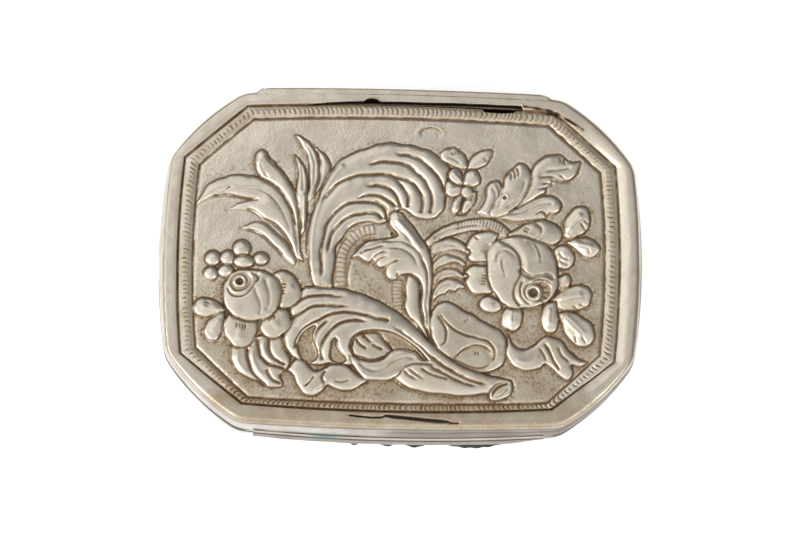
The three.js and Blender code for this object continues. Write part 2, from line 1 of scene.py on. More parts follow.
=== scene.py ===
"""A silver tobacco case: a deep eight-sided box with a hinged lid. The lid's cover is chased with leaves,
roses and ribbons inside a milled band. It is old: worn, tarnished in the hollows and split at the back.

Lengths are in millimetres until a mesh is made. +X runs along the hinge, -Y is the front, +Z is up.
"""

import math
from typing import NamedTuple

import bpy
import numpy as np
from mathutils import Matrix, Vector


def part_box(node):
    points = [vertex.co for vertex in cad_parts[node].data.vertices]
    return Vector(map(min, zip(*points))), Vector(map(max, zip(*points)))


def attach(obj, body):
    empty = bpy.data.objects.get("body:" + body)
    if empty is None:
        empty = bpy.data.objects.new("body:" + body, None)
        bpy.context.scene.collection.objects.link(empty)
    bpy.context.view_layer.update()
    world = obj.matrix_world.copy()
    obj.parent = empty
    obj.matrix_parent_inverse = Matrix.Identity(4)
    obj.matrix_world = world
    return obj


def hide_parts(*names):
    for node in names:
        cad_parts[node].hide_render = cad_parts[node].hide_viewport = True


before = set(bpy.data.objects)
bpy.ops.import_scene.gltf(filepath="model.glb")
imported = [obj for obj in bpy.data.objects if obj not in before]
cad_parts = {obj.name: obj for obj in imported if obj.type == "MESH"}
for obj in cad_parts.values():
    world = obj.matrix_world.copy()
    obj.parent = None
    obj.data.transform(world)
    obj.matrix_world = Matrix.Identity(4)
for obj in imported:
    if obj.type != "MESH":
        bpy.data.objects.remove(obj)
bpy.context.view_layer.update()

MM = 0.001
rng = np.random.default_rng(7)


def node_box(name):
    low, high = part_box(name)
    return np.array(low) / MM, np.array(high) / MM


# Sizes that the CAD model gives
COVER_LOW, COVER_HIGH = node_box("lid_cover")
SKIRT_LOW, SKIRT_HIGH = node_box("lid_skirt")
WALL_LOW, WALL_HIGH = node_box("body_wall")
BASE_LOW, BASE_HIGH = node_box("base_plate")
BEZEL_LOW, BEZEL_HIGH = node_box("mouth_bezel")
LIP_LOW, LIP_HIGH = node_box("thumb_lip")
PIN_LOW, PIN_HIGH = node_box("hinge_pin")
CHANNEL_HIGH = node_box("body_hinge_channel")[1]
PLUG_HIGH = node_box("pin_plug_right")[1]
CREST = COVER_HIGH[2]
COVER_BOTTOM = COVER_LOW[2]
SKIRT_TOP = SKIRT_HIGH[2]
LID_BOTTOM = SKIRT_LOW[2]
MOUTH_TOP = WALL_HIGH[2]
HINGE_Y = (PIN_LOW[1] + PIN_HIGH[1]) / 2
HINGE_Z = (PIN_LOW[2] + PIN_HIGH[2]) / 2
HINGE_HALF = CHANNEL_HIGH[0]

# Sizes of the sheet and of the cover's section
WALL_SHEET = 0.8
COVER_SHEET = 0.45
BEZEL_SHEET = 0.6
GROOVE = CREST - 0.8
FIELD = CREST - 0.7
EDGE_DROP = 1.05
SWELL = 0.7
SWELL_RAMP = 3.0

EDGE_ZONE = 0.12  # how far a sheet's rounded edge reaches
CHANNEL_INSIDE, CHANNEL_OUTSIDE = 1.02, 1.32  # radii of the hinge's half-round strips
PIN_BORE = 0.51
HINGE_GAP = 0.05  # between the hinge and what is cut away for it
SIDE_GAP = 0.15  # between the wall and the inner lip, and beside the hinge

# Facets of an outline: along an end, a slanting corner and a long side, and round a corner
WALL_FACETS = (36, 18, 60, 10)
BORDER_FACETS = ((110, 46, 200, 10))
BAND_FACETS = ((250, 100, 460, 8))


class Plan(NamedTuple):
    """An eight-sided outline with bowed sides and rounded corners."""

    end_x: float
    end_y: float
    long_x: float
    front_y: float
    back_y: float
    radius: float
    bow_end: float
    bow_corner: float
    bow_front: float
    bow_back: float
    middle_x: float = 0.0


def grown(plan, **changes):
    return plan._replace(**{key: getattr(plan, key) + by for key, by in changes.items()})


def mixed(a, b, t):
    return Plan(*(p + (q - p) * t for p, q in zip(a, b)))


RIM = Plan(33.2, 14.1, 24.9, 21.9, 21.9, 6.0, 0.8, 0.55, 0.6, 0.4)
MOUTH = grown(RIM, end_x=0.3, end_y=0.3, front_y=0.9, back_y=0.4, bow_end=0.3, bow_front=0.4)
BASE = grown(
    MOUTH, end_x=-1, end_y=-0.7, long_x=-0.6, front_y=-1.2, back_y=-1.1, radius=-1, bow_end=-0.4,
    bow_front=-0.6,
)
# The chased lines on each side of the milled band. Both sit a little to the left of the lid's middle.
GROOVE_LINE = Plan(35.75, 16.3, 25.6, 24.4, 25.1, 0.4, 0.8, 0.05, 0.9, 0.7, -0.45)
FIELD_LINE = Plan(33.2, 15.25, 24.6, 23.25, 22.9, 0.4, 0.8, 0.05, 0.6, 0.7, -0.4)


def side_plan(z):
    """The outside of the case at a height. It is fullest at the mouth and curves in above and below."""
    below = z <= MOUTH_TOP
    reach = MOUTH_TOP - BASE_HIGH[2] if below else SKIRT_TOP - MOUTH_TOP
    t = min(1.0, abs(z - MOUTH_TOP) / reach)
    return mixed(MOUTH, BASE if below else RIM, 1 - math.cos(t * math.pi / 2))


def outline(plan, offset=0.0, facets=WALL_FACETS):
    """Points round a plan, anticlockwise from above, moved outward by offset."""
    corners = np.array([
        (plan.end_x, -plan.end_y), (plan.end_x, plan.end_y),
        (plan.long_x, plan.back_y), (-plan.long_x, plan.back_y),
        (-plan.end_x, plan.end_y), (-plan.end_x, -plan.end_y),
        (-plan.long_x, -plan.front_y), (plan.long_x, -plan.front_y),
    ])
    slant = plan.bow_corner
    bows = (plan.bow_end, slant, plan.bow_back, slant, plan.bow_end, slant, plan.bow_front, slant)
    sides = []
    for i, bow in enumerate(bows):
        start, end = corners[i], corners[(i + 1) % 8]
        half = np.hypot(*(end - start)) / 2
        radius = (half**2 + bow**2) / (2 * bow)
        facing = math.atan2(start[0] - end[0], end[1] - start[1])
        middle = (start + end) / 2 - (radius - bow) * np.array([math.cos(facing), math.sin(facing)])
        sides.append((facing, math.asin(half / radius), radius, middle))
    reach = plan.radius + offset
    points = []
    for i, (facing, sweep, radius, middle) in enumerate(sides):
        count = facets[(0, 1, 2, 1)[i % 4]]
        angles = facing + sweep * (2 * np.arange(count) / count - 1)
        points.append(middle + (radius + reach) * np.stack([np.cos(angles), np.sin(angles)], 1))
        next_facing, next_sweep = sides[(i + 1) % 8][:2]
        start = facing + sweep
        turn = (next_facing - next_sweep - start) % (2 * math.pi)
        angles = start + turn * np.arange(facets[3]) / facets[3]
        points.append(corners[(i + 1) % 8] + reach * np.stack([np.cos(angles), np.sin(angles)], 1))
    return np.concatenate(points) + (plan.middle_x, 0)


def at_height(points, z):
    return np.column_stack([points, np.full(len(points), z)])


def ring(plan, offset, z):
    return at_height(outline(plan, offset), z)


def smooth(t):
    t = np.clip(t, 0, 1)
    return t * t * (3 - 2 * t)


def bell(distance, width):
    """1 in the middle, and falling to about a third at one width from it."""
    return np.exp(-np.square(distance / width))


def waves(x, y, length):
    """Soft random unevenness between about -1 and 1, with a given wave length in mm."""
    count = 9
    total = np.zeros_like(x, dtype=float)
    for _ in range(count):
        angle, phase = rng.uniform(0, 2 * math.pi, 2)
        pitch = 2 * math.pi / (length * rng.uniform(0.7, 1.5))
        total += np.sin((x * math.cos(angle) + y * math.sin(angle)) * pitch + phase)
    return total / math.sqrt(count)


def quads_between(rows, count, closed_rows=True):
    """Faces of a net of rows of points, where each row is a closed ring."""
    i = np.arange(rows if closed_rows else rows - 1)[:, None]
    j = np.arange(count)[None, :]
    next_row, next_point = (i + 1) % rows, (j + 1) % count
    corners = (i * count + j, i * count + next_point, next_row * count + next_point, next_row * count + j)
    return np.stack(np.broadcast_arrays(*corners), -1).reshape(-1, 4)


def rod_faces(rows, count, turned_over=False):
    """Faces of a rod: a net of rings whose first and last ring are closed by one face each."""
    last = (rows - 1) * count
    faces = quads_between(rows, count, closed_rows=False).tolist()
    faces += [list(range(count))[::-1], list(range(last, last + count))]
    return [face[::-1] for face in faces] if turned_over else faces


def add_piece(name, vertices, faces, body, material, stands_for=(), sharp=None, marks=None):
    """Makes one piece of the case. marks are values on its points, which its material reads."""
    mesh = bpy.data.meshes.new(name)
    mesh.from_pydata((np.asarray(vertices, float) * MM).tolist(), [], [list(face) for face in faces])
    mesh.update()
    mesh.shade_smooth()
    if sharp:
        mesh.set_sharp_from_angle(angle=math.radians(sharp))
    for key, values in (marks or {}).items():
        attribute = mesh.attributes.new(key, "FLOAT", "POINT")
        attribute.data.foreach_set("value", np.asarray(values, np.float32))
    mesh.materials.append(material)
    piece = bpy.data.objects.new(name, mesh)
    bpy.context.scene.collection.objects.link(piece)
    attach(piece, body)
    if stands_for:
        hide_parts(*stands_for)
    return piece


def stained_and_shaded(grime_and_shade_marks, green=None):
    """The marks that sheet silver reads: grime, and on some pieces painted shade. Most pieces have no
    verdigris.
    """
    return {"grime_and_shade": grime_and_shade_marks, "verdigris": 0 * grime_and_shade_marks if green is None else green}


def cut_away(piece, cutter):
    """Cuts one mesh out of a piece and removes the cutter."""
    modifier = piece.modifiers.new("cut", "BOOLEAN")
    modifier.operation = "DIFFERENCE"
    modifier.solver = "EXACT"
    modifier.object = cutter
    made = piece.evaluated_get(bpy.context.evaluated_depsgraph_get())
    piece.data = bpy.data.meshes.new_from_object(made)
    piece.modifiers.clear()
    bpy.data.objects.remove(cutter)


# Colours and materials


PER_MM = 1000.0  # texture scales count per metre, so this many cells are one to a millimetre


def linear(hex_colour):
    """An sRGB hex colour as linear red, green and blue, with alpha 1."""
    channels = [int(hex_colour[i : i + 2], 16) / 255 for i in (0, 2, 4)]
    return [c / 12.92 if c <= 0.04045 else ((c + 0.055) / 1.055) ** 2.4 for c in channels] + [1.0]


def add_node(tree, kind, inputs=None, stops=None, **settings):
    """Adds a node. inputs holds values and links by socket name, and stops the steps of a colour ramp."""
    made = tree.nodes.new("ShaderNode" + kind)
    for key, value in settings.items():
        setattr(made, key, value)
    for key, value in (inputs or {}).items():
        if isinstance(value, bpy.types.NodeSocket):
            tree.links.new(value, made.inputs[key])
        else:
            made.inputs[key].default_value = value
    if stops:
        ramp = made.color_ramp
        for place, _ in stops[2:]:
            ramp.elements.new(place)
        for element, (place, colour) in zip(ramp.elements, stops):
            element.position = place
            element.color = linear(colour)
    return made


def new_material(name):
    """A new material with its tree, its shader and the place of each point on the object."""
    material = bpy.data.materials.new(name)
    material.use_nodes = True
    tree = material.node_tree
    return material, tree, tree.nodes["Principled BSDF"], add_node(tree, "TexCoord").outputs["Object"]


def mark(tree, name):
    """The marks of one kind on a piece's points."""
    return add_node(tree, "Attribute", attribute_name=name).outputs["Fac"]


def noise(tree, place, size, detail, roughness=0.5):
    """Soft clouds with a size in mm."""
    inputs = {"Vector": place, "Scale": PER_MM / size, "Detail": detail, "Roughness": roughness}
    return add_node(tree, "TexNoise", inputs).outputs["Fac"]


def sums(tree, operation, *values):
    return add_node(tree, "Math", dict(enumerate(values)), operation=operation).outputs[0]


def spread(tree, *limits):
    """A value, moved from between the first two limits to between the last two."""
    return add_node(tree, "MapRange", dict(enumerate(limits))).outputs[0]


def colours(tree, value, *stops):
    return add_node(tree, "ValToRGB", {"Fac": value}, stops).outputs["Color"]


def tinted(tree, share, colour, other):
    """A colour, with a share of another one over it."""
    return add_node(tree, "Mix", {0: share, 6: colour, 7: linear(other)}, data_type="RGBA").outputs[2]


def bumps(tree, strength, depth, height, **settings):
    """Fine unevenness, with a depth in mm."""
    inputs = {"Strength": strength, "Distance": depth * MM, "Height": height}
    return add_node(tree, "Bump", inputs, **settings)


def chased_silver():
    """Repousse silver, chased, matted with a punch and rubbed clean for two centuries. The eye sees soft
    grey silver on every high place, and brown grime that no cloth reaches in lines and hollows."""
    material, tree, shader, place = new_material("repousse_silver_with_grime_in_the_chasing")
    cloud = noise(tree, place, 3.5, 5.0, 0.6)
    grain = noise(tree, place, 0.3, 3.0, 0.6)
    # Grime breaks up at its edges: coarse clouds and fine grain shift how much of it there is.
    shifted = sums(tree, "MULTIPLY_ADD", cloud, 0.55, -0.5)
    shifted = sums(tree, "MULTIPLY_ADD", grain, 0.45, shifted)
    dirt = sums(tree, "MAXIMUM", sums(tree, "ADD", mark(tree, "grime_and_shade"), shifted), 0.0)
    # The darkest stop, near black, is painted shade: the gaping crack at the front reaches it.
    colour = colours(
        tree, dirt, (0.0, "C6BDAF"), (0.2, "B3A897"), (0.45, "998469"), (0.68, "7E664B"), (0.88, "604A35"),
        (1.0, "1E1813"),
    )
    bright = tinted(tree, mark(tree, "wear"), colour, "C9C1B4")
    metal = spread(tree, dirt, 0.35, 1.0, 1.0, 0.35)
    rough = spread(tree, dirt, 0.0, 0.8, 0.22, 0.64)
    # Punch marks about 0.4 mm apart, as the matting tool leaves them.
    punch = add_node(tree, "TexVoronoi", {"Vector": place, "Scale": PER_MM / 0.42, "Randomness": 1.0})
    pits = sums(tree, "MULTIPLY", punch.outputs["Distance"], mark(tree, "matting"))
    punched = bumps(tree, 0.5, 0.06, pits)
    # Planishing and wear leave the raised parts very slightly uneven.
    uneven = bumps(tree, 0.35, 0.05, noise(tree, place, 1.1, 3.0, 0.55))
    tree.links.new(punched.outputs["Normal"], uneven.inputs["Normal"])
    shader.inputs["Metallic"].default_value = 1.0
    tree.links.new(bright, shader.inputs["Base Color"])
    tree.links.new(metal, shader.inputs["Metallic"])
    tree.links.new(rough, shader.inputs["Roughness"])
    tree.links.new(uneven.outputs["Normal"], shader.inputs["Normal"])
    return material


def worn_silver(name, clean, stained, roughness, stain_share):
    """Sheet silver, planished, polished by hand and worn by pockets: a soft grey shine with a yellow-brown
    bloom in places, fine scratches in every direction, and grime and painted shade where its marks say."""
    material, tree, shader, place = new_material(name)
    grime_and_shade = mark(tree, "grime_and_shade")
    green = mark(tree, "verdigris")
    cloud = noise(tree, place, 7, 6.0, 0.62)
    bloom = colours(tree, cloud, (1 - stain_share - 0.3, clean), (1 - stain_share + 0.15, stained))
    # Scratches: thin streaks some millimetres long, in three directions. They are drawn 0.13 mm wide, a
    # little coarser than real ones, which would not show.
    long_streaks = {"Vector": place, "Scale": (PER_MM / 9, PER_MM / 0.13, PER_MM / 3)}
    streaks = 0.0
    for turn in (0.4, 1.5, 2.5):
        lay = add_node(tree, "Mapping", long_streaks | {"Rotation": (0.3, 0.2, turn)}).outputs[0]
        streak = add_node(tree, "TexNoise", {"Vector": lay, "Scale": 1.0, "Detail": 2.0, "Roughness": 0.4})
        streaks = sums(tree, "MAXIMUM", streaks, spread(tree, streak.outputs["Fac"], 0.62, 0.8, 0.0, 1.0))
    # The marks darken the colour: grime, and on some pieces painted shade.
    grimed_and_shaded = tinted(tree, grime_and_shade, bloom, "4E4032")
    mossy = tinted(tree, green, grimed_and_shaded, "5E8C84")
    either = sums(tree, "MAXIMUM", grime_and_shade, green)
    metal = spread(tree, either, 0.2, 1.0, 1.0, 0.3)
    rough = spread(tree, cloud, 0.3, 0.75, roughness - 0.05, roughness + 0.1)
    rougher = sums(tree, "MULTIPLY_ADD", either, 0.35, rough)
    uneven = bumps(tree, 0.3, 0.06, noise(tree, place, 2.6, 2.0))
    scratched = bumps(tree, 0.25, 0.012, streaks, invert=True)
    tree.links.new(uneven.outputs["Normal"], scratched.inputs["Normal"])
    tree.links.new(mossy, shader.inputs["Base Color"])
    tree.links.new(metal, shader.inputs["Metallic"])
    tree.links.new(rougher, shader.inputs["Roughness"])
    tree.links.new(scratched.outputs["Normal"], shader.inputs["Normal"])
    return material


def drawn_steel():
    """Steel wire, drawn through a plate and browned with age: dark, with fine lines along its length."""
    material, tree, shader, place = new_material("drawn_steel_wire_browned")
    lay = add_node(tree, "Mapping", {"Vector": place, "Scale": (PER_MM / 12, PER_MM / 0.1, PER_MM / 0.1)})
    lines = add_node(tree, "TexNoise", {"Vector": lay.outputs[0], "Scale": 1.0, "Detail": 3.0})
    colour = colours(tree, noise(tree, place, 1.5, 5.0), (0.42, "7B7772"), (0.66, "5A4230"))
    shader.inputs["Metallic"].default_value = 0.9
    shader.inputs["Roughness"].default_value = 0.48
    tree.links.new(colour, shader.inputs["Base Color"])
    tree.links.new(bumps(tree, 0.4, 0.01, lines.outputs["Fac"]).outputs["Normal"], shader.inputs["Normal"])
    return material


def near_black_lump_material():
    """Near black, dull and lumpy: it stands for grime and painted shade under the thumb lip."""
    material, tree, shader, place = new_material("near_black_grime_and_shade")
    lumps = noise(tree, place, 0.5, 4.0)
    colour = colours(tree, lumps, (0.35, "15181A"), (0.7, "3A352E"))
    shader.inputs["Metallic"].default_value = 0.0
    shader.inputs["Roughness"].default_value = 0.55
    tree.links.new(colour, shader.inputs["Base Color"])
    tree.links.new(bumps(tree, 0.7, 0.08, lumps).outputs["Normal"], shader.inputs["Normal"])
    return material


CHASED = chased_silver()
POLISHED = worn_silver("planished_silver_hand_polished", "C5C1BC", "A3988B", 0.3, 0.3)
INNER = worn_silver("filed_silver_stained_by_tobacco", "B5A893", "87705A", 0.42, 0.5)
HINGE_SILVER = worn_silver("drawn_silver_tube_tarnished", "AEA394", "7A6856", 0.38, 0.5)
STEEL = drawn_steel()
LUMPS_OF_GRIME_AND_SHADE = near_black_lump_material()


# The chased field: a relief worked out on an even grid of points, in the order in which it overlaps

STEP = 0.14
XS = np.arange(-36.4, 35.6, STEP)
YS = np.arange(-25.2, 25.2, STEP)
X, Y = np.meshgrid(XS, YS)
relief = np.zeros_like(X)  # height above the ground of the field
grime_and_shade = np.zeros_like(X)  # grime, from 0 to 1
matting = np.full_like(X, 0.6)  # how strongly the ground is punched


def blurred(values, width):
    """values smoothed with a bell curve of a width in mm."""
    reach = max(1, int(3 * width / STEP))
    weights = np.exp(-np.square(np.arange(-reach, reach + 1) * STEP / width) / 2)
    weights /= weights.sum()
    for axis in (0, 1):
        padded = np.pad(values, [(reach, reach) if a == axis else (0, 0) for a in (0, 1)], mode="edge")
        places = np.arange(values.shape[axis])
        values = sum(w * np.take(padded, places + i, axis) for i, w in enumerate(weights))
    return values


def grains(size):
    """Random unevenness on the grid, mostly between -1 and 1, with grains of a size in mm."""
    values = blurred(rng.normal(size=X.shape), size / 2)
    return values / (1.6 * values.std())


wander = grains(1.1)  # how far the tracing tool strays off its line
holding = np.clip(0.84 + 0.5 * grains(1.5) + 0.3 * grains(0.5), 0.1, 1)  # share of the grime still there
flecks = np.clip(0.55 * grains(0.2) + 0.12, 0, 0.9)  # specks of grime in the punch marks

# Places in the ornament are read off the photograph in millimetres from the middle of the lid. The lid
# stands turned there by a small angle, and looks shorter because it is seen at a slant.
PHOTO_TURN = math.radians(0.8)
PHOTO_SLANT = 0.986


def to_lid(points):
    """Points of the photograph, x and y in turn, as rows in lid millimetres."""
    x, y = np.asarray(points, float).reshape(-1, 2).T
    c, s = math.cos(PHOTO_TURN), math.sin(PHOTO_TURN)
    return np.column_stack([x * c - y * s, (x * s + y * c) / PHOTO_SLANT])


def to_side(points, by_x, by_y):
    return np.reshape(points, (-1, 2)) + (by_x, by_y)


def flowing(points):
    """A smooth line through points of the photograph, in lid millimetres."""
    p = to_lid(points)
    if len(p) < 3:
        return p
    before = np.vstack([2 * p[0] - p[1], p[:-1]])
    after = np.vstack([p[1:], 2 * p[-1] - p[-2]])
    tangents = (after - before) / 2
    line = [p[:1]]
    for i in range(len(p) - 1):
        steps = max(2, int(np.hypot(*(p[i + 1] - p[i])) / 0.4))
        t = (np.arange(1, steps + 1) / steps)[:, None]
        line.append(
            (2 * t**3 - 3 * t**2 + 1) * p[i]
            + (t**3 - 2 * t**2 + t) * tangents[i]
            + (3 * t**2 - 2 * t**3) * p[i + 1]
            + (t**3 - t**2) * tangents[i + 1]
        )
    return np.concatenate(line)


def window(path, margin):
    """The part of the grid round a path."""
    low, high = path.min(0) - margin, path.max(0) + margin
    rows = slice(*np.searchsorted(YS, (low[1], high[1])))
    columns = slice(*np.searchsorted(XS, (low[0], high[0])))
    return rows, columns


def nearest(path, x, y):
    """Each point's distance from a path, how far along it the nearest place is, and on which side."""
    best = np.full(x.shape, 1e9)
    along = np.zeros(x.shape)
    side = np.ones(x.shape)
    run = 0.0
    for (ax, ay), (bx, by) in zip(path[:-1], path[1:]):
        dx, dy = bx - ax, by - ay
        length = math.hypot(dx, dy)
        if length < 1e-9:
            continue
        t = np.clip(((x - ax) * dx + (y - ay) * dy) / length**2, 0, 1)
        distance = np.hypot(x - ax - t * dx, y - ay - t * dy)
        closer = distance < best
        best = np.where(closer, distance, best)
        along = np.where(closer, run + t * length, along)
        side = np.where(closer, np.sign(dx * (y - ay) - dy * (x - ax)), side)
        run += length
    return best, along, side, run


def within(path, x, y):
    """Which points lie inside a closed path."""
    inside = np.zeros(x.shape, bool)
    for (ax, ay), (bx, by) in zip(path, np.roll(path, -1, 0)):
        if ay == by:
            continue
        crosses = ((ay > y) != (by > y)) & (x < (bx - ax) * (y - ay) / (by - ay) + ax)
        inside ^= crosses
    return inside


def roll_over(distance, width):
    """A rounded edge: 0 at the edge and 1 from one width inside it."""
    t = np.clip(distance / width, 0, 1)
    return np.sqrt(np.clip(1 - (1 - t) ** 2, 0, 1))


def fading(along, run, fade):
    """How strong a line is at a place along its run: it comes and goes softly at its two ends."""
    return smooth(along / max(fade[0], 1e-3)) * smooth((run - along) / max(fade[1], 1e-3))


def soiled(part, stain):
    """Puts grime on a part of the field, where it is darker than what is there."""
    grime_and_shade[part] = np.maximum(grime_and_shade[part], stain)


def laid_over(part, form, cover):
    """Puts a form over a part of the field, where it covers what is there."""
    relief[part] = relief[part] * (1 - cover) + form * cover
    matting[part] *= 1 - cover


def raise_form(*strokes, level=0.15, rise=0.4, roll=1.2, lean=(0, 0), sink=0.09, line=1.0):
    """A raised form. Its edge is made of strokes laid end to end. It stands level above the ground at its
    edge, and rise higher inside; lean tilts it, in mm of height per mm. The ground beside it is sunk."""
    edge = np.concatenate([flowing(stroke) for stroke in strokes])
    part = window(edge, 1.6)
    x, y = X[part], Y[part]
    closed = np.vstack([edge, edge[:1]])
    distance = nearest(closed, x, y)[0]
    inside = within(edge, x, y)
    signed = np.where(inside, distance, -distance) + 0.1 * wander[part]
    cover = smooth(signed / 0.26 + 0.5)
    middle = edge.mean(0)
    tilt = lean[0] * (x - middle[0]) + lean[1] * (y - middle[1])
    inward = np.maximum(signed, 0)
    shoulder = 0.2 * roll_over(inward, min(roll, 0.5)) + roll_over(inward, 1.5 * roll)
    form = level + rise * shoulder + tilt
    ground = relief[part] - sink * bell(signed + 0.12, 0.22)
    relief[part] = ground * (1 - cover) + form * cover
    matting[part] *= 1 - cover
    traced = line * holding[part] * bell(signed + 0.07, 0.155)
    spatter = 1.1 * flecks[part] * np.exp(np.minimum(signed, 0) / 0.8) * (signed < 0)
    clean = grime_and_shade[part] * (1 - smooth(signed / 0.2))
    grime_and_shade[part] = np.maximum(clean, np.maximum(traced, spatter * line))


def chase(points, depth=0.2, width=0.15, shoulder=0.7, soften=0.12, fade=(0.6, 0.6), dirt=0.85):
    """A chased line: a narrow groove, and soft shoulders that roll down to it. It fades at its ends."""
    line = flowing(points)
    part = window(line, shoulder + 0.4)
    x, y = X[part], Y[part]
    distance, along, side, run = nearest(line, x, y)
    distance = np.abs(side * distance + 0.07 * wander[part])
    taper = fading(along, run, fade)
    over = smooth((shoulder - distance) / 0.2)
    relief[part] -= taper * (
        depth * bell(distance, width)
        + soften * (1 - roll_over(distance, shoulder)) * over
    )
    stain = dirt * taper * holding[part] * bell(distance, width * 0.95)
    soiled(part, stain)


def step_down(points, drop, reach):
    """An edge where one petal lies over the next: the left side falls away under a crisp line."""
    line = flowing(points)
    part = window(line, reach + 0.4)
    x, y = X[part], Y[part]
    distance, along, side, run = nearest(line, x, y)
    taper = fading(along, run, (0.5, 0.5))
    fall = np.where(side > 0, 1 - smooth(distance / reach), 0.35 * (1 - roll_over(distance, 0.5)))
    relief[part] -= drop * taper * fall
    soiled(part, 0.8 * taper * holding[part] * bell(distance, 0.14))


def ridge(points, height=0.15, width=0.35, fade=(0.8, 0.8)):
    """A raised vein."""
    line = flowing(points)
    part = window(line, 3 * width)
    x, y = X[part], Y[part]
    distance, along, _, run = nearest(line, x, y)
    taper = fading(along, run, fade)
    relief[part] += height * taper * bell(distance, width)


def milled_strip(points, width, pitch, depth):
    """A narrow rounded strip with a row of short cuts across it."""
    line = flowing(points)
    part = window(line, width)
    x, y = X[part], Y[part]
    distance, along, _, run = nearest(line, x, y)
    half = width / 2
    beside = (along > 0.01) & (along < run - 0.01)
    cover = smooth((half - distance) / 0.2 + 0.5) * beside
    cut = smooth((np.cos(2 * math.pi * (along / pitch)) - 0.2) / 0.8)
    form = 0.03 + 0.08 * np.sqrt(np.clip(1 - (distance / half) ** 2, 0, 1)) - depth * cut
    laid_over(part, form, cover)
    edge = bell(distance - half, 0.2) * beside
    stain = np.maximum(0.6 * holding[part] * edge, 0.4 * cut * cover)
    grime_and_shade[part] = np.maximum(grime_and_shade[part] * (1 - cover), stain)


def bead(x0, y0, across, up=None, level=0.1, rise=0.6, line=0.85):
    """A round or oval boss, with radii across and up."""
    up = up or across
    middle = to_lid([x0, y0])
    cx, cy = middle[0]
    part = window(middle, max(across, up) + 0.8)
    q = np.hypot((X[part] - cx) / across, (Y[part] - cy) / up)
    signed = (1 - q) * min(across, up)
    cover = smooth(signed / 0.22 + 0.5)
    laid_over(part, level + rise * np.sqrt(np.clip(1 - q**2, 0, 1)), cover)
    ring_line = line * np.clip(holding[part] + 0.2, 0, 1) * bell(signed + 0.06, 0.17)
    grime_and_shade[part] = np.maximum(grime_and_shade[part] * (1 - cover), ring_line)


def pit(x0, y0, radius, depth=0.4):
    """A hole punched into a form, dark inside."""
    middle = to_lid([x0, y0])
    cx, cy = middle[0]
    part = window(middle, radius * 3)
    distance = np.hypot(X[part] - cx, Y[part] - cy)
    relief[part] -= depth * smooth((radius * 1.15 - distance) / (radius * 0.5))
    grime_and_shade[part] = np.maximum(grime_and_shade[part], smooth((radius * 1.1 - distance) / (radius * 0.3)))
    relief[part] += 0.12 * bell(distance - radius * 1.5, radius * 0.35)


def caked(points):
    """Grime caked in the punch marks along a line."""
    width = 1.6
    line = flowing(points)
    part = window(line, 3 * width)
    distance = nearest(line, X[part], Y[part])[0]
    soiled(part, 0.8 * (flecks[part] + 0.14) * bell(distance, width) * matting[part])


def hatch(x, y, facing, count=3, length=1.1, apart=0.5):
    """Short cuts side by side, as the chaser shades a petal. facing is the way they run, in degrees."""
    along = np.array([math.cos(math.radians(facing)), math.sin(math.radians(facing))])
    across = np.array([-along[1], along[0]])
    for place in (np.arange(count) - (count - 1) / 2) * apart:
        start = np.array([x, y]) + across * place
        bend = start + along * length * 0.5 + across * 0.08
        chase([start, bend, start + along * length], depth=0.13, width=0.13, shoulder=0.28, soften=0.05,
              fade=(0.15, 0.45), dirt=1)


def hollow(*strokes, level=-0.08, dirt=0.15):
    """A sunk place inside a form, with punched ground at its bottom."""
    edge = np.concatenate([flowing(stroke) for stroke in strokes])
    part = window(edge, 0.8)
    x, y = X[part], Y[part]
    distance = nearest(np.vstack([edge, edge[:1]]), x, y)[0]
    signed = np.where(within(edge, x, y), distance, -distance)
    cover = smooth(signed / 0.3 + 0.5)
    relief[part] = relief[part] * (1 - cover) + level * cover
    matting[part] = np.maximum(matting[part], cover)
    rim = 0.9 * holding[part] * bell(np.maximum(signed, 0), 0.18) * cover
    grime_and_shade[part] = np.maximum(grime_and_shade[part] * (1 - cover), np.maximum(rim, dirt * cover))


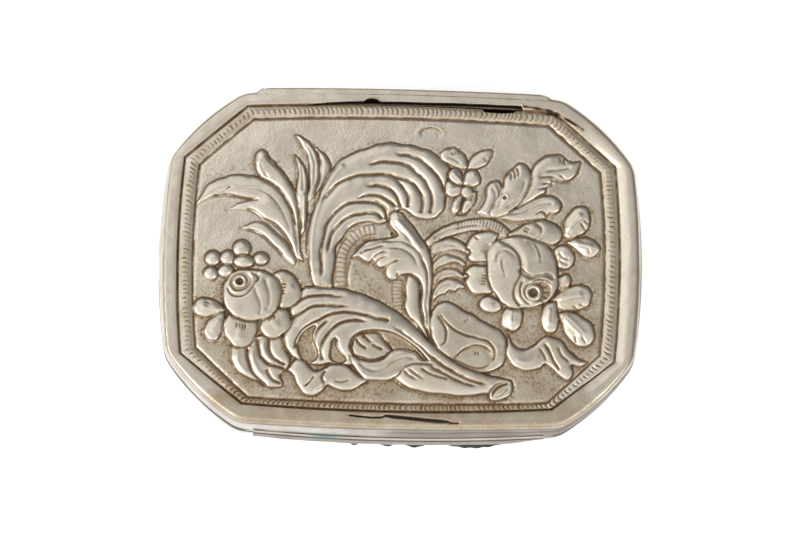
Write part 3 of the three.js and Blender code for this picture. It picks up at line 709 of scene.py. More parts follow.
def left_frond():
    """The curling leaf at the left, its tall tip, and the three blades that rise beside the scroll."""
    raise_form(
        [-26.8, 5, -25, 6, -24, 6.1, -22.5, 5.5, -20.8, 4.2, -19.2, 2.6, -17.6, 0],
        [-17.9, -1.2, -19.8, 0.4, -21, 1.8, -22.5, 3.2, -23.8, 4.2, -25, 4.7, -26.8, 5], level=0.04,
        rise=0.3, roll=1.1, line=0.4,
    )
    raise_form(
        [-23.4, 18.2, -24.2, 17.8, -24.6, 16.6, -24.5, 15.2, -24, 14, -23, 13, -21, 11.5, -19, 8.5, -18, 5,
         -17.4, 0],
        [-16.4, -0.5, -16.9, 1.5, -17.1, 4, -17.2, 7, -17.4, 9.5, -18, 11.4, -18.8, 13, -19.8, 14.4,
         -21, 15.6, -22.1, 16.7, -22.6, 17.7, -23.4, 18.2], level=0.16, rise=0.42, roll=1.1,
    )
    raise_form(
        [-34.2, 9, -33.3, 10.9, -32, 12.5, -30, 13.5, -27, 13.9, -24.3, 13.7, -22.5, 12.9, -21, 12,
         -20, 10.9, -19, 9.3, -18.2, 7.5, -17.5, 3.5, -17.2, -0.5],
        [-17.2, -0.5, -18.2, 1.6, -19.2, 3.6, -20.5, 5.2, -22, 6.1, -23.2, 6.7, -24.5, 7.8, -26.2, 8.2,
         -29.2, 8], [-29.2, 8, -27.5, 9.1, -25.8, 9.6, -24.3, 9.8],
        [-24.3, 9.8, -27, 10.1, -28.5, 10.5, -30, 10.5, -31.8, 10.1, -34.2, 9], level=0.08, rise=0.42,
        roll=1.7, line=0.45,
    )
    chase([-24.8, 13.9, -22.5, 12.9, -21, 12, -20, 10.9, -19, 9.3, -18.2, 7.5, -17.8, 5.4], depth=0.14,
          width=0.18, dirt=1, shoulder=0.5)
    chase([-31.8, 10.2, -30, 10.6, -28.5, 10.5, -27, 10.1, -25.6, 9.8, -24.4, 9.8], depth=0.12, width=0.2,
          dirt=1, shoulder=0.4)
    chase([-26.2, 8.2, -25, 8, -24, 7.5, -23, 6.7, -21.8, 6.1, -20.5, 5.2, -19.4, 3.9, -18.6, 2.4,
           -18.2, 1.4], depth=0.1, width=0.18, dirt=0.95, shoulder=0.5)
    chase([-26, 4.8, -25, 4.7, -23.8, 4.2, -22.5, 3.2, -21, 1.8, -19.8, 0.3], depth=0.08, width=0.22,
          dirt=0.8, shoulder=0.4)
    chase([-31, 10.9, -29.6, 11.2, -29, 11.7, -28.2, 11.9], depth=0.12, dirt=0.9, shoulder=0.8)
    chase([-28, 11.4, -25, 11.6, -22.4, 10.7, -20.4, 8.6, -19, 5.6, -18.2, 3], depth=0.05, dirt=0.1,
          shoulder=1.3, soften=0.14, fade=(3, 3))
    chase([-28.8, 8.3, -27, 8.6, -25.4, 8.8, -24, 9.2], depth=0.06, dirt=0.35, shoulder=0.7)
    chase([-22.9, 17.4, -22, 16.2, -20.5, 14.8, -19.3, 13.4, -18.4, 11.8], depth=0.12, dirt=1)
    chase([-23.9, 16, -23.2, 14.4, -22.2, 13.2], depth=0.08, dirt=0.5)
    ridge([-24, 16.8, -23.7, 15.2, -22.9, 13.8], height=0.12, width=0.3)
    for left, right in (
        ([-17.9, 17.3, -17.6, 16, -17.4, 14.5, -17.5, 13, -17.7, 11.6, -17.2, 8, -16.8, 4],
         [-16.1, 5, -15.7, 9, -15.6, 12, -15.8, 13.5, -16.2, 15, -16.9, 16.3, -17.9, 17.3]),
        ([-17.9, 20.7, -16.8, 19, -16, 17.5, -15.6, 16, -15.5, 14, -15.6, 12.5, -15.8, 9],
         [-14.6, 10.5, -13.8, 13.5, -13.7, 15, -14, 16.8, -14.6, 18.3, -15.5, 19.4, -16.8, 20.4,
          -17.9, 20.7]),
        ([-15, 19.1, -14.1, 17.6, -13.7, 15.8, -13.8, 13.5, -14.4, 11],
         [-13.3, 12.2, -12, 15, -12.3, 16.2, -12.9, 17.4, -13.8, 18.2, -15, 19.1]),
    ):
        raise_form(left, right, level=0.14, rise=0.36, roll=0.75)
    chase([-16.9, 15.6, -16.6, 13.5, -16.6, 11], depth=0.1, dirt=0.4)
    chase([-16.4, 19.3, -15, 17.4, -14.6, 15, -14.9, 12], depth=0.1, dirt=0.35)
    ridge([-16.3, 11, -16.3, 8, -16.2, 4, -16.1, 0], height=0.28, width=0.42)


def great_scroll():
    """The C scroll of long flutes, with a milled strip inside it."""
    raise_form(
        [-14.2, -5, -14.8, -4, -15.4, -2, -15.7, 0, -15.7, 4, -15.2, 7, -14, 10, -12.8, 13, -11.6, 15,
         -10.2, 16.6, -8, 17.8, -6, 18.5, -4, 19.2, -2, 19.4, 0, 19.2, 2, 18.9, 4, 18.3, 5.5, 17.6, 7, 16.2,
         8, 15.3],
        [8, 15.3, 7.7, 13.6, 7.4, 11.2, 7.1, 9.5, 6.8, 8.3, 6, 7.4, 5, 6.9, 3.8, 6.7, 2, 7.2, 0, 8.3,
         -1.9, 7, -2.5, 6.3, -4, 5.9, -5.5, 6.2, -7, 6, -8.5, 5.2, -9.8, 3.8, -11, 2, -11, 0.5, -11.4, -1.5,
         -11.5, -3, -11.4, -5], level=0.2, rise=0.42, roll=1.5,
    )
    for flute in (
        [-1.5, 17.7, 1, 17.4, 3, 16.8, 4.5, 15.6, 5.8, 14.2, 6.6, 13, 7, 12, 7.4, 11.2],
        [-6, 15.7, -5.3, 15.9, -3.5, 16.2, -1.5, 16.2, 0.5, 15.9, 2, 15, 3.3, 13.8, 4.3, 12.3, 4.9, 10.7,
         5, 9, 4.7, 7.6],
        [-13.4, 9, -13, 10, -11.8, 11.5, -10, 13, -8, 13.8, -6, 14.1, -4, 14.2, -2.2, 14.1, -1, 13.6,
         0.2, 13.4, 1.3, 13, 2.3, 12.2, 3.1, 11, 3.5, 9.5, 3.2, 7.6],
        [-1.3, 13.6, -0.5, 12.8, 0.4, 11.8, 1, 10.5, 1, 8.5],
        [-6.4, 12.1, -5, 12.2, -3.5, 12.2, -2, 11.6, -1, 10.6, -0.4, 9.2, -0.1, 8.3],
        [-8, 9.9, -7, 10.2, -6, 10.6, -4.5, 10.6, -3.2, 10.3, -2, 9.6, -1, 8.7],
        [-13.4, -3.5, -13.4, -1.5, -13.5, 1, -13.2, 3, -12.6, 5.5, -11.5, 7.4, -10, 8.7, -8.5, 9.3,
         -6.5, 9.5, -4.5, 9.4, -3.4, 8.9, -2.7, 7.8, -2.6, 6.5],
        [-12.4, 0.5, -12.2, 2.5, -11.5, 4.5, -10, 6.2, -8, 7.3, -6, 7.6, -4.3, 7.5, -3.2, 6.6],
    ):
        chase(flute, depth=0.2, width=0.19, shoulder=1.25, soften=0.42, fade=(2.0, 0.3), dirt=1)
    chase([-5, 9.9, -3.2, 9.2, -2.2, 8], depth=0.14, dirt=0.6)
    ridge([-14.9, -3, -15.1, 0, -15, 4, -14.4, 7.4, -13.2, 10.5, -11.6, 13.6, -9.6, 15.9], height=0.14,
          width=0.4)
    milled_strip([-4.5, 5, -6.5, 4.6, -8.3, 3.4, -9.6, 1.6, -10.2, -0.5, -10.3, -2.5, -10.2, -4.8],
                 width=1.6, pitch=0.8, depth=0.07)
    chase([-8.3, 0, -8.9, -1.5, -9, -3.5, -8.9, -5], depth=0.1, dirt=0.5)


def middle_acanthus():
    """The leaf that curls over in the middle of the lid, with its long stem and the fan beside it."""
    milled_strip([-0.7, -3.4, -0.75, -5.6, -0.5, -8.6], width=1.7, pitch=0.62, depth=0.08)
    raise_form(
        [4.2, -0.4, 4.6, 1, 5.6, 2.6, 7.8, 3.4, 9.8, 2.8, 10.9, 1.2, 10.4, -1.2],
        [10.4, -1.2, 10.3, -3.6, 9.6, -4.4, 7.6, -5.2, 6, -5.8, 4.9, -6.4, 4.2, -3.6, 4.2, -0.4],
        level=0.14, rise=0.1, roll=0.8, line=0.3,
    )
    for blade in (
        [4.4, 0.6, 5, 2.2, 6.2, 3.1, 7.8, 3.5, 9.6, 3.1, 10.8, 2.2, 10.9, 1, 9.5, 1.6, 8, 1.8, 6.6, 1.4,
         5.4, 0.5, 4.4, -1],
        [4.6, -1.6, 5.2, -0.6, 6.2, 0.2, 7.4, 0.7, 8.6, 0.6, 9.9, 0, 10.6, -1, 9.4, -0.5, 8, -0.5, 6.6, -1,
         5.4, -2, 4.8, -3.2],
        [4.8, -4.2, 5.2, -3.1, 6, -2.2, 7.2, -1.6, 8.5, -1.6, 9.8, -2.2, 10.4, -3.2, 9, -2.7, 7.6, -2.9,
         6.2, -3.6, 5.2, -5],
        [5, -7, 5.2, -5.6, 5.8, -4.4, 6.8, -3.6, 8.2, -3.2, 9.5, -3.6, 10.5, -4.6, 9.4, -4.7, 8.8, -5.2,
         7.8, -5.1, 7.2, -5.7, 6.2, -5.9, 5, -7],
    ):
        raise_form(blade, level=0.16, rise=0.3, roll=1.1, line=0.85)
    for line in (
        [5.2, 0.6, 6.4, 2.1, 8, 2.5, 9.8, 2.1], [5.6, -3.6, 6.8, -2.5, 8.4, -2.2, 9.6, -2.6],
        [5.6, -6, 6.3, -4.9, 7.4, -4.2, 8.8, -4.1],
    ):
        chase(line, depth=0.08, dirt=0.25, shoulder=0.6, fade=(0.3, 1))
    raise_form(
        [1, -2.6, 0.6, -4, 0.5, -6, 0.6, -8, 1, -9.3, 2.4, -10.6, 4.4, -13.2],
        [4.4, -13.2, 3.9, -11.4, 3.3, -9.6, 3, -7.5, 3, -5.5, 2.9, -3.9, 2.2, -2.8, 1, -2.6], level=0.14,
        rise=0.34, roll=0.9,
    )
    raise_form(
        [-2.1, 7.3, -2.1, 6, -1.5, 4.9, -0.9, 4, -1.8, 3.5, -3.5, 3.4, -5.5, 2.9, -7, 2, -8.2, 0.4],
        [-8.2, 0.4, -7.2, 0.3, -6.4, -0.3, -5.5, -0.6, -4.9, -0.3, -4.4, -1, -3.6, -1.7, -2.9, -1.5,
         -2.9, -2.5, -2.2, -3.4, -1.2, -3.5, -0.6, -3.1, -0.3, -2.7, 0.5, -2.5, 1.4, -2.4, 2.3, -2.8,
         2.9, -3.6, 3.3, -5, 3.2, -7, 3.5, -9, 3.9, -10.9, 4.9, -13.4],
        [4.9, -13.4, 4.7, -8, 4.8, -6, 5, -4, 5, -2, 4.9, 0, 4.4, 1.6, 3.4, 3.2, 2.2, 4.8, 1, 6.3, 0, 7.6,
         -0.8, 8, -1.5, 7.9, -2.1, 7.3], level=0.3, rise=0.5, roll=1.7, lean=(0.01, 0.02), sink=0.14,
    )
    for cut in (
        [-4.4, -1, -4.1, -0.3, -3.2, 0.3, -1.9, 0.5], [-5, -0.3, -4.4, 0.6, -3.4, 1.1, -2, 1.3],
        [-2.9, -1.5, -2.2, -0.8, -1.2, -0.4, 0, -0.3], [-6.9, 0.8, -5.6, 1.5, -4, 2, -2.4, 2.2],
        [-0.8, -3, -0.7, -2.3, -0.2, -1.7],
    ):
        chase(cut, depth=0.16, shoulder=0.7, soften=0.22, fade=(0.1, 1.2), dirt=0.95)
    for soft in (
        [-7, 1.6, -5, 2.5, -2.5, 2.9, 0, 2.9, 2, 1.9, 3.3, 0.2, 3.9, -2],
        [-1.5, 5.9, -0.6, 4.8, 0.8, 3.6, 2, 2], [-4, 1, -2, 1.9, 0.4, 1.5, 2, 0, 2.8, -1.6],
    ):
        chase(soft, depth=0.05, width=0.2, dirt=0.12, shoulder=1.1, soften=0.2, fade=(1.2, 1.5))
    chase([3.2, 0.4, 3.9, -1.2, 4.3, -3, 4.3, -5, 4.1, -8, 4.4, -12], depth=0.16, shoulder=0.6, soften=0.16,
          fade=(1.5, 1.0), dirt=0.9)
    ridge([-1.3, 6.9, 0.1, 5.4, 1.8, 3.4, 3.4, 1], height=0.14, width=0.4)
    pit(-1.6, 4.3, 0.3, depth=0.15)
    pit(-0.4, 7.3, 0.28, depth=0.12)


def flower():
    """The small flower with two leaves above it."""
    for leaf in (
        [6.4, 17.8, 7.2, 18.5, 8.2, 18.6, 8.7, 18.9, 9.6, 18.3, 10.5, 17.4, 11, 16.2, 10.9, 15.4, 10, 15.3,
         8.6, 15.8, 7.4, 16.4, 6.7, 17, 6.4, 17.8],
        [11.1, 15.2, 11.3, 16.4, 12.1, 17.4, 13.3, 18.2, 14.7, 18.6, 15.3, 18.2, 14.9, 17.2, 14.2, 16,
         13, 15.3, 11.1, 15.2],
    ):
        raise_form(leaf, level=0.08, rise=0.26, roll=0.9)
    hatch(8.8, 18.2, -70, count=3, length=0.9, apart=0.45)
    chase([7.4, 17.3, 8.8, 16.8, 10, 16], depth=0.05, dirt=0.3)
    hatch(14.2, 17, 215, count=2, length=0.7, apart=0.4)
    for petal in (
        [10, 12.3, 9.6, 11.2, 8.6, 9.6, 8.3, 8.1, 8.9, 7.5, 9.6, 8.2, 10, 9.6, 10.6, 10.6],
        [10.8, 10.8, 10.2, 9.4, 10, 8, 10.5, 7.6, 11.5, 8.5, 12.3, 9.8, 12.4, 11.4],
        [10, 12.8, 9, 12.8, 7.9, 13.4, 7.3, 12.3, 7.4, 11, 8.4, 10.5, 9.6, 10.9, 10.4, 11.8],
        [10.3, 12.6, 10.2, 13.6, 9.8, 14.7, 8.8, 15.3, 7.9, 14.8, 7.7, 13.8, 8.6, 12.8, 9.6, 12.4],
        [10.4, 12.6, 10.5, 14.2, 11.2, 14.9, 12.4, 14.9, 13, 13.8, 13, 12.8, 12, 12.2, 11, 12.1],
    ):
        raise_form(petal, level=0.16, rise=0.34, roll=0.75)
    # A crease down each petal, and the folds where they meet.
    for crease in (
        [8.4, 14.6, 9.2, 13.8, 10.1, 12.8], [12.5, 14.3, 11.6, 13.5, 10.6, 12.7],
        [7.8, 11.6, 8.8, 11.8, 9.8, 12.2], [8.8, 8.2, 9.2, 9.4, 9.9, 10.7], [11.4, 9.2, 11.2, 10, 11, 10.9],
    ):
        ridge(crease, height=0.12, width=0.22, fade=(0.3, 0.3))
    bead(10.9, 11.3, 1.0, 1.05, level=0.3, rise=0.34)
    chase([10, 10.4, 10.8, 10, 11.6, 10.2, 12, 10.9], depth=0.14, shoulder=0.4, fade=(0.1, 0.1))
    chase([8.8, 7.6, 9.8, 7.5, 10.8, 7.8, 11.8, 8.9], depth=0.14, width=0.2, shoulder=0.4, dirt=1)


def curled_leaf():
    """The leaf of four lobes at the upper right, its stems running down to the left."""
    raise_form([12.8, 8, 13.4, 9, 14, 10.6, 14.1, 12, 14.8, 13, 15.8, 13.2, 16.6, 12.6, 17.4, 11, 18.6, 9.4,
                20, 7.8, 18, 6.8, 15, 6.9, 12.8, 8], level=0.08, rise=0.42, roll=1.3, line=0.35)
    raise_form([15.4, 6.9, 18, 8, 20, 9.3, 21.8, 10.2, 23.5, 10.8, 25, 10.8, 26.2, 10.2, 26.8, 9.2,
                26.4, 8.2, 25.4, 7.7, 24.5, 8, 24.2, 7.2, 23.4, 6.8, 20, 6.5, 15.4, 6.9], level=0.08,
               rise=0.42, roll=1.2, line=0.6)
    raise_form(
        [21.6, 14.8, 22.3, 16.1, 23.5, 17, 25, 17.6, 26.5, 17.6, 27.4, 17, 28.5, 16.5, 30.1, 16.7,
         29.7, 15.4, 29.1, 14.2, 28, 13.4, 26.5, 13.3, 25.3, 13.5, 24.9, 12.7, 24.2, 12.3, 24.1, 11.3,
         22, 10.2, 19.4, 8.7, 18.5, 9.4, 20.4, 11.4, 21.6, 14.8], level=0.12, rise=0.4, roll=1.4, line=0.75,
    )
    raise_form([16.9, 12, 17.1, 13.3, 17.8, 14.7, 18.8, 15.5, 19.7, 16.3, 20.7, 16, 21.4, 15.2, 21.8, 13.9,
                21.4, 12.3, 20.5, 10.4, 19.2, 8.9, 17.8, 7.8, 15.8, 7, 14.6, 7.8, 15.6, 9.6, 16.9, 12],
               level=0.14, rise=0.44, roll=1.5, line=0.45)
    for line in (
        [13.3, 8.9, 14, 10.4, 14.1, 12, 14.8, 13, 15.9, 13.2],
        [16.9, 12, 17.1, 13.3, 17.8, 14.7, 18.8, 15.5, 19.7, 16.3, 20.7, 16, 21.4, 15.2, 21.7, 14.2],
        [21.8, 13.9, 21.4, 12.3, 20.5, 10.4, 19.2, 8.9, 17.8, 7.9],
        [21.8, 15, 22.4, 16.1, 23.5, 17, 25, 17.6, 26.5, 17.6, 27.4, 17, 28.5, 16.5, 30, 16.6],
        [29.6, 15.2, 29.1, 14.2, 28, 13.4, 26.5, 13.3],
        [23.4, 10.8, 25, 10.8, 26.2, 10.2, 26.8, 9.2, 26.4, 8.2, 25.4, 7.7],
    ):
        chase(line, depth=0.08, width=0.17, shoulder=0.3, soften=0.02, fade=(0.2, 0.2), dirt=1)
    for cut in (
        [18, 14.7, 18.3, 14, 18.3, 13.2], [18.6, 15.2, 18.9, 14.3, 18.9, 13.4],
        [19.2, 15.5, 19.5, 14.6, 19.4, 13.8], [26.5, 17.3, 26.8, 16.8, 26.5, 16.2],
        [27.1, 17, 27.4, 16.4, 27.2, 15.9], [26.3, 13.4, 25.6, 13.8, 24.6, 14, 23, 13.8],
        [27.4, 13.5, 26.8, 14.1, 26.2, 14.4], [25.4, 12.6, 24.6, 12.8, 23.4, 12.7],
        [24.4, 12, 23.6, 12, 22.6, 11.8], [24.2, 11, 24.3, 11.6, 24.1, 12.2],
    ):
        chase(cut, depth=0.14, shoulder=0.4, fade=(0.15, 0.5), dirt=0.95)
    for soft in (
        [14.9, 12.4, 15.6, 11.2, 15.6, 9.8, 14.8, 8.2], [15.8, 12.9, 16.4, 11.4, 16.4, 9.6, 15.6, 8],
        [20.9, 13.6, 20.2, 11.6, 18.8, 9.8, 17, 8.4], [28.6, 15.7, 26.4, 15.2, 24, 14.9, 22.6, 13.4],
        [25.6, 9.4, 23.4, 9.4, 20.6, 8.2, 17.6, 7.3],
    ):
        chase(soft, depth=0.05, width=0.22, dirt=0.1, shoulder=1.0, soften=0.2, fade=(0.8, 1.4))
    chase([22.4, 7.5, 23.2, 8.1, 24, 7.9, 24.1, 7], depth=0.14, dirt=0.9, shoulder=0.5)
    pit(17.2, 10.4, 0.34, depth=0.2)


def milled_arm():
    """The milled arc that carries the rose, and the round leaf over it."""
    arm_top = [3.7, 3, 5, 4.2, 6.5, 5.2, 8, 5.9, 10, 6.4, 12, 6.8, 14, 6.9, 16, 6.4, 17.3, 5.6, 18.3, 4.6]
    arm_foot = [17.6, 2.6, 16.9, 3, 16.2, 3.6, 15, 4.4, 13, 4.7, 11, 4.7, 9, 4.3, 7, 3.5, 5.5, 2.3,
                4.6, 1.3]
    raise_form(arm_top, arm_foot, level=0.12, rise=0.36, roll=0.9)
    chase([5.2, 3.3, 6.6, 4.3, 8.4, 5.1, 10.4, 5.6, 13, 5.8], depth=0.1, dirt=0.4, shoulder=0.7)
    for share in np.linspace(0, 1, 15):
        x = 9.4 + 7.4 * share
        top = 6.25 + 0.5 * math.sin(math.pi * share) - 0.5 * share**3
        chase([(x - 0.15, top - 1.3), (x + 0.1, top - 0.65), (x + 0.25, top - 0.1)], depth=0.14, width=0.12,
              shoulder=0.25, soften=0.03, fade=(0.25, 0.1), dirt=0.5)
    raise_form([17.6, 4.2, 19.3, 5.3, 21, 6.2, 22.8, 6.7, 24.5, 6.6, 26, 5.8, 26.9, 4.6, 26.5, 3.4,
                25.3, 2.6, 22, 2, 19, 3], level=0.12, rise=0.42, roll=1.5)
    chase([22.2, 6.2, 23.2, 5.4, 23.2, 4.4, 22, 3.4], depth=0.12, dirt=0.5, shoulder=1.0, soften=0.16)


def rose_leaves():
    """Leaves and small petals set round the large rose."""
    for group in (
        [27.1, 4.2, 27.1, 6, 27.7, 7.5, 28.8, 8.6, 30, 9, 31.1, 8.5, 31.5, 7, 31.3, 5.6, 30.5, 4.5,
         29.3, 3.9, 28, 3.6, 27.1, 4.2],
        [27.6, 3, 29, 3.7, 30.5, 3.9, 32, 3.4, 33.2, 2.1, 32.9, 1.3, 31.8, 0.6, 30.5, 0.5, 29.5, 1.2,
         28.4, 2.2, 27.6, 3],
        [25.4, 1.6, 26.4, 2.4, 27.8, 2.3, 28.7, 1.2, 28.9, 0, 28.2, -1.1, 27, -1.6, 25.8, -1, 25.4, 1.6],
        [25.6, -3, 27.4, -2.2, 28.3, -3.1, 27.9, -4.5, 26.5, -5, 25.6, -4.6, 25.6, -3],
        [25, -6.4, 26.5, -5.2, 28, -4.4, 29.5, -4, 30.9, -4.4, 31.7, -5.6, 31.4, -7, 30.2, -8.1, 28.5, -8.5,
         26.8, -8.3, 25.2, -7.4, 25, -6.4],
        [26, -8.8, 28, -8.5, 29.5, -9, 31, -10, 31.9, -11.5, 32, -13, 31, -14.1, 29.5, -14.3, 28.3, -13.5,
         27.3, -12.3, 26.7, -10.8, 26, -8.8],
        [25.6, -7, 24, -7.2, 23.2, -8.8, 23.2, -10.3, 23.7, -11.6, 24.7, -12.1, 25.7, -11.4, 26.1, -10,
         25.9, -8.5, 25.6, -7],
        [17.6, -7.4, 16.5, -9, 16.5, -10.3, 17.2, -11.4, 18.4, -11.9, 19.5, -11.2, 20, -10, 19.9, -8.8,
         19.4, -7.4, 17.6, -7.4],
        [16.6, -7.2, 15.4, -6.3, 14.5, -6, 13.4, -6.3, 13, -7.2, 13.2, -8.1, 14.2, -8.8, 15.6, -8.9,
         16.7, -8.1, 16.6, -7.2],
        [14.8, -1.3, 13.6, -1, 12.2, -0.9, 11, -1.4, 10.4, -2.2, 11, -2.7, 10.6, -3.5, 11.1, -4.7, 12, -5.6,
         13.4, -5.8, 15.2, -5.2, 14.8, -1.3],
        [16.2, 4.2, 15, 4.7, 13.4, 4.7, 11.9, 4.2, 11.1, 3.2, 10.8, 2, 11.5, 1.3, 11.1, 0.5, 12.1, -0.3,
         13.5, -0.4, 14.6, 0, 15, 1.8, 16.2, 4.2],
    ):
        raise_form(group, level=0.2, rise=0.4, roll=1.25, lean=(0.1, 0.03))
    for vein in (
        [27.6, 4.6, 28.7, 6.2, 30.3, 7.8], [28.4, 2.8, 30.2, 2.3, 32.2, 2],
        [25.8, -6.7, 28, -6.3, 30.4, -5.9], [26.8, -9.2, 28.6, -10.8, 30.4, -12.8],
        [24.8, -7.8, 24.6, -9.6, 24.6, -11.2], [18.5, -8, 18.2, -9.6, 18.3, -11],
    ):
        ridge(vein, height=0.2, width=0.6)
        chase(to_side(vein, 0.3, -0.25), depth=0.06, dirt=0.3, shoulder=0.4, fade=(0.3, 1.2))
    for notch in (
        [30.8, 5, 30.2, 5.9, 29.8, 6.4], [31.2, 6.1, 30.6, 6.6, 30.3, 6.8], [31.4, 1.1, 31.2, 1.6, 31.4, 2],
        [30.4, -7.9, 29.8, -7.3, 29.4, -7.2], [29.2, -8.3, 28.8, -7.7, 28.3, -7.5],
        [30.6, -13.9, 30, -13, 29.9, -12.4], [29, -13.8, 28.8, -13, 28.9, -12.4],
        [12.1, 3.9, 12.7, 3.5, 13, 3.1],
    ):
        chase(notch, depth=0.14, width=0.14, shoulder=0.4, fade=(0.1, 0.5), dirt=0.7)
    bead(11, 1.3, 0.34, level=0.2, rise=0.2)
    bead(10.6, -2.7, 0.34, level=0.2, rise=0.2)
    hatch(14.4, 1.7, 150, count=4, apart=0.42)
    hatch(14.2, -3.4, 170, count=4, apart=0.5)
    hatch(15.9, -7.2, 200, count=2)
    hatch(20.4, 5.2, -30, count=2)
    for bean in ([26.3, 1.4, 26.9, 0.4, 28, 0.2], [26.2, 0.2, 27, -0.5, 28, -0.7]):
        chase(bean, depth=0.14, shoulder=0.5, fade=(0.3, 0.3), dirt=0.6)


def great_rose():
    """The large rose: a globe of overlapping petals that turns its open eye to the lower right."""
    raise_form(
        [14.3, 1, 14.6, 1.8, 15.2, 2.6, 16.2, 3.4, 18, 3.8, 20, 3.9, 21.5, 3.6, 23, 3, 24.4, 2.3, 25.3, 1,
         25.8, -0.6, 26.1, -2.4, 25.9, -4.6, 25, -6.2, 23.7, -7.3, 22, -7.9, 20.3, -8, 19, -8.2, 17.5, -7.8,
         16.5, -7, 15.5, -5.7, 14.8, -4.3, 14.3, -2.8, 14.2, -1, 14.3, 1], level=0.3, rise=0.62, roll=4.2,
        lean=(0.008, 0.01), sink=0.15,
    )
    step_down([16, 3.1, 18, 2.2, 19.4, 0.6, 19.8, -1, 19.6, -2.8, 18.9, -4, 18.5, -5.5, 18.8, -6.8,
               19.8, -7.9], drop=0.3, reach=1.3)
    step_down([25.6, -3.3, 25, -2.6, 24, -2.3, 23, -2.5, 21.8, -2.7, 20.5, -2.1, 19.7, -1.1], drop=0.34,
              reach=1.1)
    for fold in (
        [15.4, -0.4, 15.6, 1, 16.6, 1.9, 17.9, 1.6, 19, 0.6, 19.7, -0.8],
        [20.3, 3.6, 21.8, 2.8, 22.6, 1.4, 22.9, -0.4], [16.4, 0.6, 16.4, -1, 17, -2.8],
    ):
        ridge(fold, height=0.1, width=0.25)
        chase(to_side(fold, 0.35, -0.35), depth=0.05, width=0.2, dirt=0.15, shoulder=1.1, soften=0.12)
    chase([20.2, -3.4, 19.6, -5, 20.2, -6.6, 21.6, -7.6], depth=0.16, shoulder=0.5)
    chase([20.9, -6.8, 20.5, -5.5, 21, -4.2, 22.3, -3.5, 24, -3.4, 25.1, -4.2], depth=0.16, shoulder=0.45,
          dirt=0.9)
    hollow([21.2, -6.6, 20.8, -5.5, 21.2, -4.3, 22.3, -3.8, 23.8, -3.8, 24.8, -4.6, 24.6, -6, 23.4, -6.9,
            22.2, -7, 21.2, -6.6], level=0.5, dirt=0.25)
    bead(21.9, -5.4, 1.5, level=0.55, rise=0.3)
    pit(21.9, -5.5, 0.75, depth=0.55)
    for turn in (-50, -25, 0, 25, 50):
        toward = (math.cos(math.radians(turn)), math.sin(math.radians(turn)))
        hatch(21.9 + 1.7 * toward[0], -5.4 + 1.5 * toward[1], turn, count=1, length=1.2)


